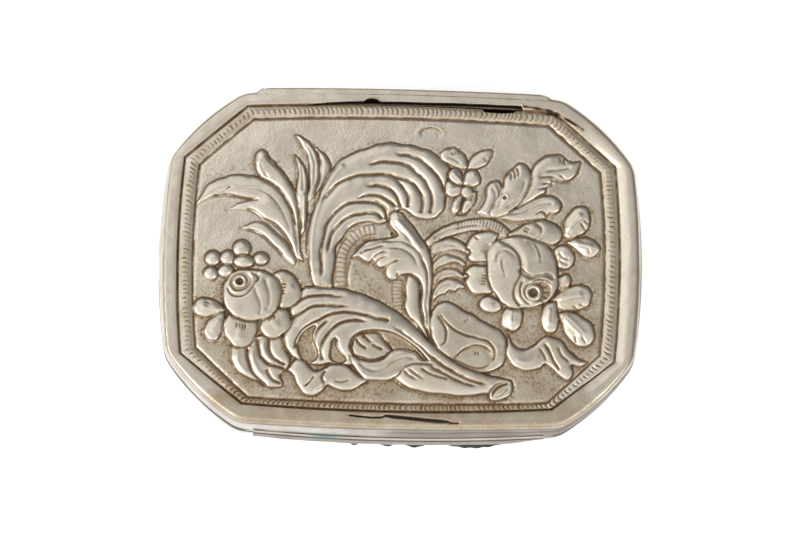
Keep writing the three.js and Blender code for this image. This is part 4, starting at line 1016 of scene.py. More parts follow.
def left_rose():
    """The smaller rose at the left with its berries and petals."""
    for petal in (
        [-35, -8, -34.2, -7, -33, -6.6, -31.5, -7, -30.2, -7.8, -29.2, -8.8, -30.5, -9.3, -32, -9.8,
         -33.5, -9.7, -34.6, -9, -35, -8],
        [-29.4, -9, -31, -9.5, -32.3, -10.6, -33, -12, -32.5, -13.3, -31.5, -13.7, -30.5, -13.3, -29.8, -12,
         -29.4, -10.5, -29.4, -9],
        [-28.9, -9.2, -29.6, -11.2, -29.4, -12.8, -28.5, -14, -27.3, -14.7, -25.9, -14.7, -24.7, -13.6,
         -24, -12, -24, -10, -26, -9.6, -28.9, -9.2],
        [-23.4, -9.8, -23.7, -11.6, -22.8, -12.9, -21.5, -13.3, -20.1, -12.9, -18.9, -11.8, -18.3, -10.5,
         -18.5, -9.3, -19.5, -8.3, -21.5, -8.4, -23.4, -9.8],
        [-21.5, -2.4, -20, -2, -18.5, -2.6, -17.2, -4, -16.7, -5.5, -17, -6.8, -18, -7.8, -19.3, -8.3,
         -20.6, -7.9, -21.5, -5, -21.5, -2.4],
    ):
        raise_form(petal, level=0.16, rise=0.42, roll=1.3)
    for vein in (
        [-33.8, -8, -32, -8.2, -30.2, -8.7], [-31.8, -12.6, -30.8, -11.2, -30, -10],
        [-27.2, -14, -27, -12.4, -27, -10.8], [-20.2, -12, -21.2, -10.8, -22, -9.9],
        [-17.8, -4.6, -19, -5.2, -20, -5.8],
    ):
        ridge(vein, height=0.14, width=0.6)
    for x, y, across, up in (
        (-31.5, -0.1, 1.35, 1.3), (-29, 0, 1.3, 1.3), (-26.7, 1.6, 1.5, 1.45), (-23.5, -0.1, 1.3, 1.1),
        (-26.3, -0.6, 1.75, 1.15), (-31.8, -2.6, 1.25, 1.2), (-29.3, -2.2, 1.35, 1.15),
    ):
        bead(x, y, across, up, level=0.12, rise=0.62)
    raise_form(
        [-29.5, -3.9, -28.5, -2.6, -27.3, -2, -26, -1.9, -24.4, -1.9, -22.8, -2.2, -21.6, -2.7, -20.7, -3.5,
         -20.1, -4.8, -20, -6, -20.4, -7.7, -21.2, -9, -22.5, -10, -24, -10.5, -25.5, -10.5, -27, -10.1,
         -28.3, -9.4, -29.3, -8.1, -29.7, -6.5, -29.8, -5, -29.5, -3.9], level=0.28, rise=0.6, roll=3.4,
        sink=0.15,
    )
    step_down([-29.3, -4.8, -28.4, -6.2, -27, -6.5, -25.8, -6, -24.9, -5, -24.3, -4, -23.7, -3.1,
               -23.9, -2.3], drop=0.26, reach=1.0)
    for fold in (
        [-24.6, -4.6, -24.2, -6, -23.6, -7.2, -23.4, -8.4, -23.8, -9.6],
        [-23, -3.2, -22.2, -5, -22, -7, -22.6, -9],
    ):
        chase(fold, depth=0.05, width=0.25, dirt=0.08, shoulder=1.4, soften=0.16)
    hollow([-28.6, -4.6, -28.4, -3.4, -27.4, -2.6, -26, -2.5, -25.2, -3.2, -25.3, -4.4, -26.4, -5.4,
            -27.8, -5.5, -28.6, -4.6], level=0.48, dirt=0.1)
    bead(-27, -3.95, 1.15, 1.05, level=0.52, rise=0.26, line=0.5)
    pit(-27, -3.9, 0.62, depth=0.5)
    chase([-25.2, -2.5, -24.2, -2.8, -23.9, -3.6, -24.5, -4.2], depth=0.14, dirt=0.8, shoulder=0.4)
    hatch(-20.1, -5.2, 0, count=4)
    hatch(-21.9, -9.5, -70, count=3)
    hatch(-26.8, -10.9, -95, count=4)
    hatch(-32.8, -7.6, -20, count=2)


def lower_left_blades():
    """The blades that fan out under the smaller rose."""
    raise_form(
        [-28.2, -14.6, -28.2, -16.4, -27.5, -18, -26.4, -19.3, -25, -20.1, -23.4, -20.3],
        [-23.4, -20.3, -22.3, -21.2, -20.3, -21.3, -19.8, -20.7, -20.2, -19.4, -19.2, -18.4, -18.4, -17.2,
         -19, -15.4, -19.6, -13, -22, -12.4, -24.4, -13, -28.2, -14.6], level=0.06, rise=0.36, roll=1.0,
    )
    for line in (
        [-25.7, -14.8, -25.5, -17, -24.8, -18.8, -23.7, -20.1, -22.4, -21.1],
        [-24, -13.2, -23.8, -15, -23.1, -16.7, -22, -17.6, -20.5, -18, -19.3, -18.4],
        [-22.1, -13.2, -22, -15, -21.3, -16.3, -20.2, -17.2, -19.2, -17.6],
        [-22.4, -18.2, -22.1, -19.3, -21.1, -20.3, -19.9, -20.7],
    ):
        chase(line, depth=0.18, width=0.19, shoulder=1.0, soften=0.3, fade=(0.3, 0.3), dirt=1)
    for ridge_line in (
        [-24.9, -15, -24.6, -17, -23.8, -18.6, -22.8, -19.8],
        [-23.1, -13.6, -22.9, -15.2, -22.1, -16.6, -21, -17.4],
        [-27.3, -15.4, -27.2, -17, -26.4, -18.4, -25.4, -19.4],
    ):
        ridge(ridge_line, height=0.1, width=0.3)


def great_lower_leaf():
    """The long acanthus across the lower half: it swells from the left, opens over a hollow and runs out
    to a cut end at the right."""
    raise_form(
        [-16, -4.6, -14, -4.9, -12, -4.9, -10, -5, -8, -5.5, -6, -6.2, -4, -7, -2, -8.1, 0, -9.5, 2, -11.3,
         4, -13.2, 6, -14.9, 8, -16.4, 10, -17.5, 12, -18.4, 14, -19, 16, -19.6, 17.8, -19.9],
        [17.8, -19.9, 18.3, -20.9, 17.8, -21.9, 16.9, -22.8, 15.6, -23, 14.5, -22.3, 12, -22.5, 9, -22.6,
         6, -22.3, 4, -22.1, 2, -21.7, 0.5, -21.1, -0.9, -20.2, -1.6, -19.4, -3, -18.2, -6, -17.8,
         -9, -17.6, -12, -17.4, -14.5, -17.6, -17.5, -16.6, -18.5, -15.8, -19.3, -14.6, -19.7, -13,
         -19.3, -11.5, -18.4, -10.2, -18.6, -8.6, -18, -7, -17, -5.6, -16, -4.6], level=0.26, rise=0.6,
        roll=2.4, lean=(0, 0.006), sink=0.14,
    )
    for flute, depth, fade in (
        ([-18.2, -7.5, -16.5, -6.7, -15, -6.2, -12, -6.1, -9, -6.5], 0.22, (0.2, 3)),
        ([-18.4, -10.1, -17, -9.2, -15.5, -8.3, -14, -7.9, -11, -7.8, -8, -8.1], 0.24, (0.2, 3)),
        ([-17.8, -15.2, -17.6, -13.8, -16.8, -12.2, -15.4, -11, -14, -10.4, -12.5, -9.6, -11, -9, -9, -8.9,
          -7, -9.2, -5, -9.6, -3.5, -10, -2.1, -10.3], 0.24, (0.6, 0.2)),
        ([-13.8, -15.5, -14.5, -14.5, -14.5, -13, -14, -11.8, -13, -10.8, -11.8, -10.2], 0.2, (0.5, 1.5)),
        ([-13.2, -17, -13.4, -15.5, -13.2, -14, -12.5, -12.8, -11.5, -11.5, -10, -10.6, -8, -10.2,
          -5, -10.6], 0.24, (0.4, 2.5)),
        ([-15.6, -16.4, -16.2, -15, -16, -13.4, -15.2, -12.2], 0.18, (0.3, 1)),
        ([-2, -10.8, 0.4, -12.4, 3, -14.6, 6, -17, 9, -18.9, 12, -20.2, 14.6, -21], 0.12, (3, 2)),
        ([4.5, -17.6, 7, -19, 10, -20.4, 13, -21.3], 0.1, (1, 2)),
    ):
        chase(flute, depth=depth, width=0.18, shoulder=1.25, soften=0.36, fade=fade, dirt=1)
    hollow(
        [-8.8, -14.6, -8.3, -13.2, -7.2, -12.3, -5.5, -11.9, -3.5, -11.9, -1.5, -12.3, 0, -13, 1.4, -13.9,
         2.8, -15, 4.4, -16.9],
        [4.4, -16.9, 3.2, -16.6, 2.2, -15.7, 1.2, -15.2, 0, -15, -1.5, -15.2, -2.2, -15.9, -3.4, -16.7,
         -5, -17, -7, -16.7, -8.2, -16, -8.8, -14.6],
    )
    raise_form([-8.5, -14.7, -8, -13.3, -7, -12.6, -5.4, -12.2, -3.9, -12.3, -3.2, -13.1, -2.2, -14.2,
                -1.5, -15.1, -2.3, -15.7, -3.5, -16.4, -5, -16.7, -6.9, -16.4, -8, -15.8], level=0.1,
               rise=0.28, roll=1.0, line=0.5)
    for finger in (
        [-7.7, -13.1, -6.9, -14.2, -5.8, -15], [-6.5, -12.6, -5.8, -13.2, -5, -13.9],
        [-3.6, -12.7, -2.8, -13.8, -1.9, -14.8, -1.4, -15.2], [-5, -14.1, -4.1, -14.6, -3.1, -15.1],
    ):
        chase(finger, depth=0.16, width=0.18, shoulder=0.6, soften=0.16, fade=(0.2, 0.3), dirt=1)
    # Two more places where the matted ground shows between the flutes.
    hollow([-17.5, -14.4, -16.6, -12.5, -15.2, -11.4, -14.3, -11.2, -14.8, -12.6, -14.6, -14.2,
            -13.9, -15.8, -14.4, -16.9, -15.6, -17.4, -16.9, -16.4, -17.5, -14.4], level=0.02)
    hollow([-11.7, -13.8, -11.1, -13.1, -10.9, -14.6, -10.1, -15.9, -9.2, -16.7, -9.8, -17.3, -11.2, -17.2,
            -12, -16.4, -11.7, -13.8], level=0.02)
    chase([-10.8, -13, -10.7, -14.5, -10, -15.7, -9, -16.5], depth=0.22, shoulder=0.8, soften=0.2)
    for stroke in (
        [0.2, -18.3, 0.6, -19, 1.8, -19.8, 2.8, -20.2], [1, -18.2, 2.5, -19.3, 4, -20],
        [3, -18, 4.5, -19, 6, -19.5, 8, -20],
    ):
        chase(stroke, depth=0.14, shoulder=0.55, soften=0.12, fade=(0.4, 0.9))
    raise_form([18.2, -20, 16.9, -20.3, 15.8, -20.8, 14.9, -21.5, 14.4, -22.4, 14.7, -23.3, 16, -23.3,
                17.3, -22.7, 18.3, -21.7, 18.2, -20], level=0.26, rise=0.2, roll=0.7, sink=0.16)
    chase([17.8, -20.5, 16.4, -21, 15.3, -21.9, 15, -22.8], depth=0.16, width=0.2, shoulder=0.4,
          fade=(0.1, 0.1), dirt=1)
    chase([17.8, -21.2, 16.9, -22.2, 15.6, -22.9], depth=0.1, shoulder=0.4, fade=(0.2, 0.2), dirt=0.7)


def ribbons():
    """The ribbon that winds under the leaves, from the lower left to the right."""
    raise_form(
        [-19, -18.4, -17.9, -16.9, -16.3, -17, -15.2, -18.2, -14.2, -18.8, -13, -18.3, -12, -17.6,
         -10.8, -17.4, -9.3, -17.8, -8, -18.6, -6.8, -19.5, -5.6, -20],
        [-5.6, -20, -7.2, -21.1, -8.5, -21.7, -10, -21.8, -11.5, -21.3, -12.4, -20.8, -13.2, -22,
         -14.3, -22.7, -15.5, -22.7, -16.7, -21.9, -17.5, -20.7, -18, -19.5, -19, -18.4], level=0.28,
        rise=0.3, roll=0.8,
    )
    chase([-16.2, -21.4, -15.2, -20.3, -14.5, -19.2], depth=0.2, shoulder=0.7, soften=0.2)
    chase([-12.9, -20.6, -13.3, -19.6, -12.6, -18.4], depth=0.2, shoulder=0.6, soften=0.2, fade=(0.1, 0.4))
    chase([-11.4, -20.2, -9.8, -20.4, -8.4, -20], depth=0.1, dirt=0.4, shoulder=0.8)
    ridge([-14.8, -22.1, -13.5, -21.6, -12.8, -20.6], height=0.15, width=0.3)
    raise_form(
        [-8.9, -15.9, -8.2, -16.1, -7, -16.7, -5.5, -17, -4, -16.9, -3, -16.5, -2.2, -15.7, -1.5, -15.2,
         0, -15, 1.5, -15.2, 2.5, -15.6, 3.5, -16.8, 5, -17.6],
        [5, -17.6, 3.6, -17.5, 2.5, -17.4, 1.2, -17.7, 0.2, -18.4, -0.6, -19.3, -1.5, -19.9, -3, -20.2,
         -4.5, -20.2, -6, -19.9, -7.4, -18.9, -8.2, -17.5, -8.9, -15.9], level=0.34, rise=0.3, roll=0.8,
    )
    chase([-7.4, -17.2, -6, -18.2, -4.2, -18.6, -2.6, -18, -1.4, -17, 0.4, -16.4, 2.4, -16.6], depth=0.06,
          width=0.25, dirt=0.15, shoulder=0.9, soften=0.14)
    ridge([-7.4, -18.4, -6, -19.4, -4, -19.7, -2, -19.5, -0.4, -18.6, 1, -17.6], height=0.12, width=0.25)
    raise_form(
        [4.9, -8.6, 6, -7.5, 7.5, -7.2, 9, -7.7, 11, -8.8, 13, -9.8, 15, -11, 16.5, -12, 17.4, -13.2,
         17.6, -14.6, 17.4, -16, 16.7, -17.4, 15.5, -18.3, 14, -18.8, 12, -18.4, 10, -17.7, 8.5, -16.8,
         7, -15.7, 6, -14.9], [6, -14.9, 5, -13, 4.8, -11, 4.9, -8.6], level=0.16, rise=0.24, roll=0.8,
    )
    chase([6.2, -9, 7, -10, 8, -11, 9.5, -12, 11, -12.7, 13, -13.1, 14.3, -13.5, 15.2, -14.5, 15.5, -15.8,
           15, -17], depth=0.15, shoulder=0.4)
    chase([5.9, -9.2, 6.9, -10.7, 7.4, -12, 7.2, -13.3, 6.4, -14.4], depth=0.2, shoulder=0.5)
    chase([9, -16.3, 9.8, -15.2, 11, -14.5, 12.5, -14.3, 14, -14.6, 15, -15.5], depth=0.15, shoulder=0.4)
    raise_form([8.6, -16.5, 9.8, -15.5, 11, -14.9, 12.5, -14.7, 13.9, -15, 14.8, -16, 14.6, -17.2,
                13.4, -17.9, 11.6, -17.8, 9.8, -17.1, 8.6, -16.5], level=0.1, rise=0.2, roll=1.0, line=0.5)
    hatch(12.4, -15.2, -90, count=2, length=0.8)
    hatch(10.6, -9.9, -60, count=2, length=0.7)
    raise_form(
        [17.7, -12.4, 18.3, -13.8, 19.3, -14.7, 20.5, -14.9, 21.8, -14.3, 23, -13.2, 24.2, -12.7,
         25.6, -12.9, 26.8, -13.6, 27.6, -14.8, 28.5, -15.8, 29.6, -16.5, 31.2, -16.9],
        [31.2, -16.9, 29.5, -17.6, 28.1, -17.4, 28.4, -18.6, 27.6, -19.9, 26.2, -19.1, 25, -18.1,
         23.7, -17.2, 23, -17.8, 21.8, -18.3, 20.3, -18.3, 18.8, -17.9, 17.8, -16.7, 17.3, -15.2,
         17.7, -12.4], level=0.2, rise=0.3, roll=0.8,
    )
    chase([23.7, -13.6, 24.6, -15.3, 25.3, -16.9, 26.4, -18.4], depth=0.2, shoulder=0.7, soften=0.2)
    chase([25.9, -14.2, 26.6, -15.8, 27.9, -17.1], depth=0.14, shoulder=0.6)
    chase([22.8, -14.4, 23.6, -15.8, 24, -17], depth=0.12, dirt=0.5, shoulder=0.6)
    ridge([18.6, -16.4, 20.2, -17, 21.8, -16.8, 23, -15.8], height=0.1, width=0.35)


def ground():
    """The ground of the field: a dent near the top, and the places where grime has caked on."""
    dent = to_lid([4.8, 21])
    part = window(dent, 3)
    cx, cy = dent[0]
    q = np.hypot((X[part] - cx) / 1.9, (Y[part] - cy) / 1.2)
    upper = smooth((Y[part] - cy + 1.3) / 2.4)
    relief[part] -= 0.2 * upper * smooth((1.15 - q) / 0.4)
    relief[part] += 0.05 * upper * bell(q - 1.2, 0.15)
    soiled(part, (0.35 + 0.5 * holding[part]) * upper**2 * bell(q - 0.93, 0.16))
    for grime_line in (
        [-31.5, 13.6, -29.5, 14.8, -27, 15.5, -24.5, 15.3, -21.5, 13.6],
        [-27.5, 10.5, -24, 9.6, -21, 8, -18, 5], [-16.5, 4, -14.5, 1.5, -13, -2],
        [-8, 6.5, -7.5, 3, -9, 0, -7, -3, -3.5, -5.5], [-31.5, 0, -30.5, -3.5, -31, -7],
        [-30.5, -12, -27, -19, -22, -22.3, -16, -23.4, -8, -22.8, -2, -21.5],
        [-10, -15, -6, -17.6, -2.5, -20.5], [5.6, 4, 9, 6.3, 13.5, 6.6, 18.5, 6.6],
        [10.9, 6.6, 12.2, 8.8, 12.6, 11.5],
        [11, -0.5, 11, -4, 13.2, -6.4, 14.5, -8.8, 17, -11.8, 21, -13.6],
        [24.2, -7, 26.2, -10.6, 26.2, -12.2], [27, 0.5, 28.6, -2, 30.4, -9, 32, -12],
        [20.5, -19.4, 23.2, -20.4, 25.6, -21],
    ):
        caked(grime_line)


ground()
left_frond()
great_scroll()
flower()
curled_leaf()
milled_arm()
middle_acanthus()
rose_leaves()
great_rose()
lower_left_blades()
great_lower_leaf()
left_rose()
ribbons()


RELIEF_SHARE = 0.92  # wear has lowered the whole relief


def finish_field():
    """Unevenness and grime over the whole relief. Returns where it is worn bright."""
    relief[:] = RELIEF_SHARE * blurred(relief, 0.09)
    # Hammering from behind and two centuries of rubbing leave no surface quite even.
    relief[:] += 0.05 * waves(X, Y, 9) + 0.035 * grains(3.4) + 0.012 * grains(0.9)
    field_edge = outline(FIELD_LINE, 0.0, WALL_FACETS)
    to_edge = nearest(np.vstack([field_edge, field_edge[:1]]), X, Y)[0]
    relief[:] -= 0.2 * bell(to_edge, 0.3)
    hollows = blurred(relief, 0.7) - relief
    wide_hollows = blurred(relief, 1.6) - relief
    # The field is darker from the upper left to the lower right.
    darker_to_front = smooth((25 - Y + 0.2 * X) / 44)
    ground_dirt = matting * (0.04 * darker_to_front + 0.05 * grains(3.5))
    ground_dirt += matting * 0.05 * np.clip(wide_hollows / 0.16, 0, 1)
    ground_dirt += matting * (0.2 + 0.4 * darker_to_front) * flecks * np.clip(holding + grains(4.0), 0, 1)
    grime_and_shade[:] = np.maximum(grime_and_shade, ground_dirt) + 0.1 * np.clip(hollows / 0.16, -0.3, 0.6)
    grime_and_shade[:] = np.clip(grime_and_shade + 0.24 * darker_to_front - 0.09, -0.2, 0.9)
    edge_line = 0.85 * np.clip(holding + 0.3, 0, 1) * bell(to_edge + 0.05 * wander, 0.21)
    grime_and_shade[:] = np.maximum(grime_and_shade, edge_line)
    return np.clip(-hollows / 0.16, 0, 1) * (1 - matting)


wear = finish_field()


def field_sheet():
    """The chased field as a closed sheet. Its underside shows the same work in reverse, softened."""
    under_band = 0.25  # how far the field runs on under the band
    edge = outline(FIELD_LINE, under_band, WALL_FACETS)
    loop = np.vstack([edge, edge[:1]])

    def net(step):
        x, y = X[::step, ::step], Y[::step, ::step]
        middle_x = (x[1:, 1:] + x[:-1, :-1]) / 2
        middle_y = (y[1:, 1:] + y[:-1, :-1]) / 2
        kept = within(edge, middle_x, middle_y)
        rows, columns = x.shape
        index = np.arange(rows * columns).reshape(rows, columns)
        corners = np.stack([index[:-1, :-1], index[:-1, 1:], index[1:, 1:], index[1:, :-1]], -1)[kept]
        uses = np.bincount(corners.ravel(), minlength=rows * columns)
        used = np.flatnonzero(uses)
        renumber = np.full(rows * columns, -1)
        renumber[used] = np.arange(len(used))
        on_edge = uses[used] < 4
        px, py = x.ravel()[used].copy(), y.ravel()[used].copy()
        for k in np.flatnonzero(on_edge):
            a, b = loop[:-1], loop[1:]
            d = b - a
            t = np.clip(((px[k] - a[:, 0]) * d[:, 0] + (py[k] - a[:, 1]) * d[:, 1]) / (d**2).sum(1), 0, 1)
            foot = a + d * t[:, None]
            nearest_foot = foot[np.argmin(np.hypot(foot[:, 0] - px[k], foot[:, 1] - py[k]))]
            px[k], py[k] = nearest_foot
        return px, py, renumber[corners], used, on_edge

    coarse = 2
    px, py, top_faces, used, top_edge = net(1)
    values = [a.ravel()[used] for a in (relief, grime_and_shade, wear, matting)]
    top = np.column_stack([px, py, FIELD + values[0]])
    bx, by, low_faces, low_used, low_edge = net(coarse)
    reverse = 0.85 * blurred(relief, 0.45)
    low = np.column_stack([bx, by, FIELD - COVER_SHEET + reverse[::coarse, ::coarse].ravel()[low_used]])

    def in_order(points, on_edge):
        found = np.flatnonzero(on_edge)
        angle = np.arctan2(points[found, 1], points[found, 0])
        order = np.argsort(angle)
        return found[order], angle[order]

    upper, upper_angle = in_order(top, top_edge)
    lower, lower_angle = in_order(low, low_edge)
    lower = lower + len(top)
    wall = []
    i = j = 0
    while i < len(upper) or j < len(lower):
        next_upper = upper_angle[i + 1] if i + 1 < len(upper) else upper_angle[0] + 2 * math.pi
        next_lower = lower_angle[j + 1] if j + 1 < len(lower) else lower_angle[0] + 2 * math.pi
        if j >= len(lower) or (i < len(upper) and next_upper <= next_lower):
            wall.append((upper[i % len(upper)], lower[j % len(lower)], upper[(i + 1) % len(upper)]))
            i += 1
        else:
            wall.append((upper[i % len(upper)], lower[j % len(lower)], lower[(j + 1) % len(lower)]))
            j += 1
    faces = top_faces.tolist() + (low_faces[:, ::-1] + len(top)).tolist() + wall
    blank = np.zeros(len(low))
    marks = {
        "grime_and_shade": np.concatenate([values[1], blank + 0.45]),
        "wear": np.concatenate([values[2], blank]),
        "matting": np.concatenate([values[3], blank + 0.2]),
    }
    return np.vstack([top, low]), faces, marks


# The split along the back of the milled band: the torn edges on the rim's side and on the field's side
SPLIT_BEHIND = to_lid(
    [-15.9, 25.7, -12, 26.2, -8.7, 26.35, -6.3, 26.4, -6, 26.8, -5, 26.95, -4, 26.8, -3.7, 26.4, 0, 26.35,
     6.3, 26.25, 10, 26.2, 13.6, 26.1, 16, 25.95, 19.6, 25.9, 20.4, 25.75],
)
SPLIT_AHEAD = to_lid(
    [-15.9, 25.6, -12, 25.85, -8.7, 25.95, -3.6, 25.85, 0, 25.75, 6.3, 25.6, 10, 25.5, 13.4, 25.4,
     13.9, 24.8, 15.2, 24.7, 17, 24.6, 18.6, 24.7, 19.2, 25.0, 19.6, 25.3, 20.4, 25.7],
)
CRACK_BACK = to_lid([20.4, 25.7, 24.3, 25.1, 26.4, 24.3, 28.1, 23.3, 30.4, 21.9])
CRACK_FRONT = to_lid(
    [-8.7, -25.9, -7.3, -26.1, -5, -26.3, -3.3, -26.25, -2.8, -25.95, -1.7, -26.1, 0.5, -26.3, 3, -26.55,
     5.7, -26.8, 7.5, -26.9, 8.2, -27.15, 9.3, -27.15],
)


def torn(points, split, toward_back):
    """Moves the points of a line at the back out to the split's edge."""
    x, y = points.T
    at_split = (y > 20) & (x > split[0, 0]) & (x < split[-1, 0])
    ragged = 0.03 * np.sin(x * 9.1) + 0.02 * np.sin(x * 23.7)
    edge = np.interp(x, split[:, 0], split[:, 1]) + ragged
    farther = np.maximum(y, edge) if toward_back else np.minimum(y, edge)
    return np.column_stack([x, np.where(at_split, farther, y)])


def closed_sheet(rows, grime_and_shade_rows, below, matted):
    """A sheet from its rows of points above and below, and its marks. Its underside is half soiled."""
    count = len(rows[0])
    faces = quads_between(len(rows) + len(below), count)
    grime = np.concatenate(grime_and_shade_rows + [np.full(count, 0.5)] * len(below))
    marks = {"grime_and_shade": grime, "wear": 0 * grime, "matting": 0 * grime + matted}
    return np.vstack(rows + below), faces.tolist(), marks


def border_sheet():
    """The smooth rounded border of the cover, which widens over the hinge, with a fine line along it."""
    rim = outline(RIM, 0.0, BORDER_FACETS)
    groove = outline(GROOVE_LINE, 0.0, BORDER_FACETS)
    inner = torn(outline(GROOVE_LINE, -0.04, BORDER_FACETS), SPLIT_BEHIND, True)
    over_hinge = smooth((HINGE_HALF + SWELL_RAMP / 2 - np.abs(rim[:, 0])) / SWELL_RAMP)
    swell = np.where(rim[:, 1] > 0, SWELL * over_hinge, 0)
    outer = rim + np.column_stack([np.zeros_like(swell), swell])
    width = np.hypot(*(groove - rim).T)
    across = inner - outer
    rows = []
    grime_and_shade_rows = []
    shares = [
        0, 0.004, 0.012, 0.025, 0.045, 0.07, 0.1, 0.135, 0.165, 0.19, 0.215, 0.24, 0.28, 0.34, 0.4, 0.45,
        0.49, 0.52, 0.55, 0.58, 0.61, 0.64, 0.67, 0.7, 0.735, 0.77, 0.8, 0.83, 0.86, 0.885, 0.91, 0.93,
        0.95, 0.968, 0.984, 1.0,
    ]
    held_along = waves(rim[:, 0], rim[:, 1], 2.2)
    for share in shares:
        place = outer + across * share
        px, py = place.T
        inward = np.sum((place - rim) * (groove - rim), 1) / width
        t = inward / width
        drop = np.where(t < 0.3, EDGE_DROP * (1 - roll_over(t, 0.3)), 0)
        # Outside the rim's own edge, over the hinge, the sheet is a low rounded strip.
        outside = np.clip(-inward / np.maximum(swell, 1e-6), 0, 1)
        strip = 0.05 + 0.97 * (1 - np.sqrt(np.clip(1 - outside**4, 0, 1)))
        drop = drop + (np.minimum(drop, strip) - drop) * smooth(swell / 0.3)
        at_right = smooth((px - 28) / 5)
        slope = np.clip((t - 0.62) / 0.38, 0, 1)
        rounded = np.clip((t - 0.42) / 0.58, 0, 1) ** 1.7
        drop = drop + 0.08 * slope**2 * (1 - at_right) + 0.55 * rounded * at_right
        to_groove = np.clip(width * (1 - t), 0, None)
        at_front = smooth((-py - 22) / 1.5)
        foot = CREST - GROOVE - 0.08 - 0.47 * at_right - 0.2 * at_front * (1 - at_right)
        soft_side = smooth((-py - 0.3 * px - 14) / 6)
        drop = drop + foot * (1 - smooth(to_groove / (0.13 + 0.12 * soft_side)))
        kept = np.clip(0.75 + 0.4 * held_along, 0.25, 0.9)
        grime = kept * bell(to_groove, 0.1 + 0.08 * at_right)
        # The border is darker along the front.
        grime = np.minimum(grime + 0.38 * smooth((-py - 21) / 3) - 0.12, 0.9)
        # The crack gapes in the middle. Its inside is painted near black, as painted shade, so no light
        # comes back out of it.
        gape = 0.13 + 0.12 * smooth((px + 3) / 2) * smooth((8.2 - px) / 1.5)
        crack = np.exp(-np.power(nearest(CRACK_FRONT, px, py)[0] / gape, 4))
        drop = drop + 0.42 * crack
        grime = np.maximum(grime, 1.25 * crack)
        torn_line = nearest(CRACK_BACK, px, py)[0] + 0.08 * held_along
        grime = np.maximum(grime, 1.1 * bell(torn_line, 0.2))
        edge_line = 0.4 * bell(np.where(swell > 0.02, 9, inward - 0.32), 0.1)
        grime = np.maximum(grime, edge_line * (py < 0))
        rows.append(np.column_stack([place, CREST - drop]))
        grime_and_shade_rows.append(grime)
    x, y = np.concatenate(rows)[:, :2].T
    uneven = 0.03 * waves(x, y, 11) + 0.012 * waves(x, y, 3)
    top = np.concatenate(rows)
    fade = np.repeat([smooth(min(s, 1 - s) / 0.08) for s in shares], len(rim))
    top[:, 2] += np.minimum(uneven, 0.03) * fade
    below = [
        at_height(inner, GROOVE - COVER_SHEET), at_height(outer + across * 0.85, GROOVE - COVER_SHEET),
        at_height(outer + across * 0.6, CREST - COVER_SHEET), at_height(outer + across * 0.45, COVER_BOTTOM),
        at_height(outer, COVER_BOTTOM),
    ]
    return closed_sheet(np.split(top, len(shares)), grime_and_shade_rows, below, 0)


def band_sheet():
    """The milled band between the two chased lines: a low roll with a row of short bent cuts."""
    nominal_out = outline(GROOVE_LINE, 0.0, BAND_FACETS)
    outer = torn(outline(GROOVE_LINE, 0.04, BAND_FACETS), SPLIT_AHEAD, False)
    inner = outline(FIELD_LINE, 0.0, BAND_FACETS)
    middle = (nominal_out + inner) / 2
    width = np.hypot(*(nominal_out - inner).T)
    step = np.hypot(*(np.roll(middle, -1, 0) - middle).T)
    along = np.concatenate([[0], np.cumsum(step)])[:-1]
    total = step.sum()
    pitches = rng.uniform(0.62, 0.98, int(total / 0.8))
    marks_at = np.concatenate([[0], np.cumsum(pitches) * total / pitches.sum()])
    # Cut by hand, each one has its own length and depth.
    deep = rng.uniform(0.45, 1.15, len(marks_at))
    start = rng.uniform(-0.06, 0.06, len(marks_at))
    end = rng.uniform(-0.08, 0.08, len(marks_at))
    back = smooth((nominal_out[:, 1] - 22) / 2) * smooth((nominal_out[:, 0] + 22) / 8)
    front = smooth((-nominal_out[:, 1] - 22) / 2)
    first = 0.32 - 0.12 * back - 0.14 * front
    last = 0.74 + 0.12 * back + 0.14 * front
    held_out = np.clip(0.7 + 0.45 * waves(outer[:, 0], outer[:, 1], 2.0), 0.15, 1)
    held_in = np.clip(0.8 + 0.4 * waves(inner[:, 0], inner[:, 1], 1.7), 0.35, 1)
    rows = []
    grime_and_shade_rows = []
    shares = np.concatenate([[0, 0.03], np.linspace(0.07, 0.95, 14), [0.98, 1.0]])
    for share in shares:
        place = outer + (inner - outer) * share
        px, py = place.T
        t = 1 - np.hypot(*(place - inner).T) / width
        bend = 0.34 * (1 - np.square(2 * (t - 0.5) / 0.6))
        coordinate = np.interp(along, marks_at, np.arange(len(marks_at))) + bend
        nearest_mark = np.round(coordinate).astype(int) % len(marks_at)
        off = np.abs(coordinate - np.round(coordinate))
        length = smooth((t - first - start[nearest_mark]) / 0.1)
        length = length * smooth((last + end[nearest_mark] - t) / 0.1)
        cut = bell(off, 0.13) * length * deep[nearest_mark]
        between = smooth((t - first + 0.05) / 0.12) * smooth((last + 0.05 - t) / 0.12)
        crown = 0.2 * np.power(np.clip(np.sin(math.pi * np.clip(t, 0, 1)), 0, 1), 0.6)
        rubbed = smooth((px - 20) / 6) * smooth((-py - 12) / 6)
        height = GROOVE + crown + 0.06 * between - (0.1 + 0.1 * rubbed) * cut
        to_outer = width * t
        to_inner = width * (1 - t)
        height = height - 0.1 * bell(to_outer, 0.16) - 0.1 * bell(to_inner, 0.15)
        height = height - 0.1 * np.clip(py - 24, 0, 2) * bell(px - 14, 8)
        crack = nearest(CRACK_BACK, px, py)[0]
        height = height - 0.3 * bell(crack, 0.2)
        # Darker towards the front, and lighter where rubbed at the lower right.
        darker_to_front = 0.12 + 0.24 * smooth((-py - 18) / 6) - 0.3 * rubbed
        in_cuts = (0.65 + 0.3 * rubbed + 0.2 * front) * np.clip(cut, 0, 1) + darker_to_front
        grime = np.maximum(held_out * bell(to_outer, 0.13 + 0.07 * rubbed), in_cuts)
        grime = np.maximum(grime, held_in * bell(to_inner, 0.2))
        grime = np.maximum(grime, 1.1 * bell(crack, 0.18))
        rows.append(np.column_stack([place, height]))
        grime_and_shade_rows.append(grime)
    below = [at_height(inner, GROOVE - COVER_SHEET), at_height(outer, GROOVE - COVER_SHEET)]
    return closed_sheet(rows, grime_and_shade_rows, below, 0.1)


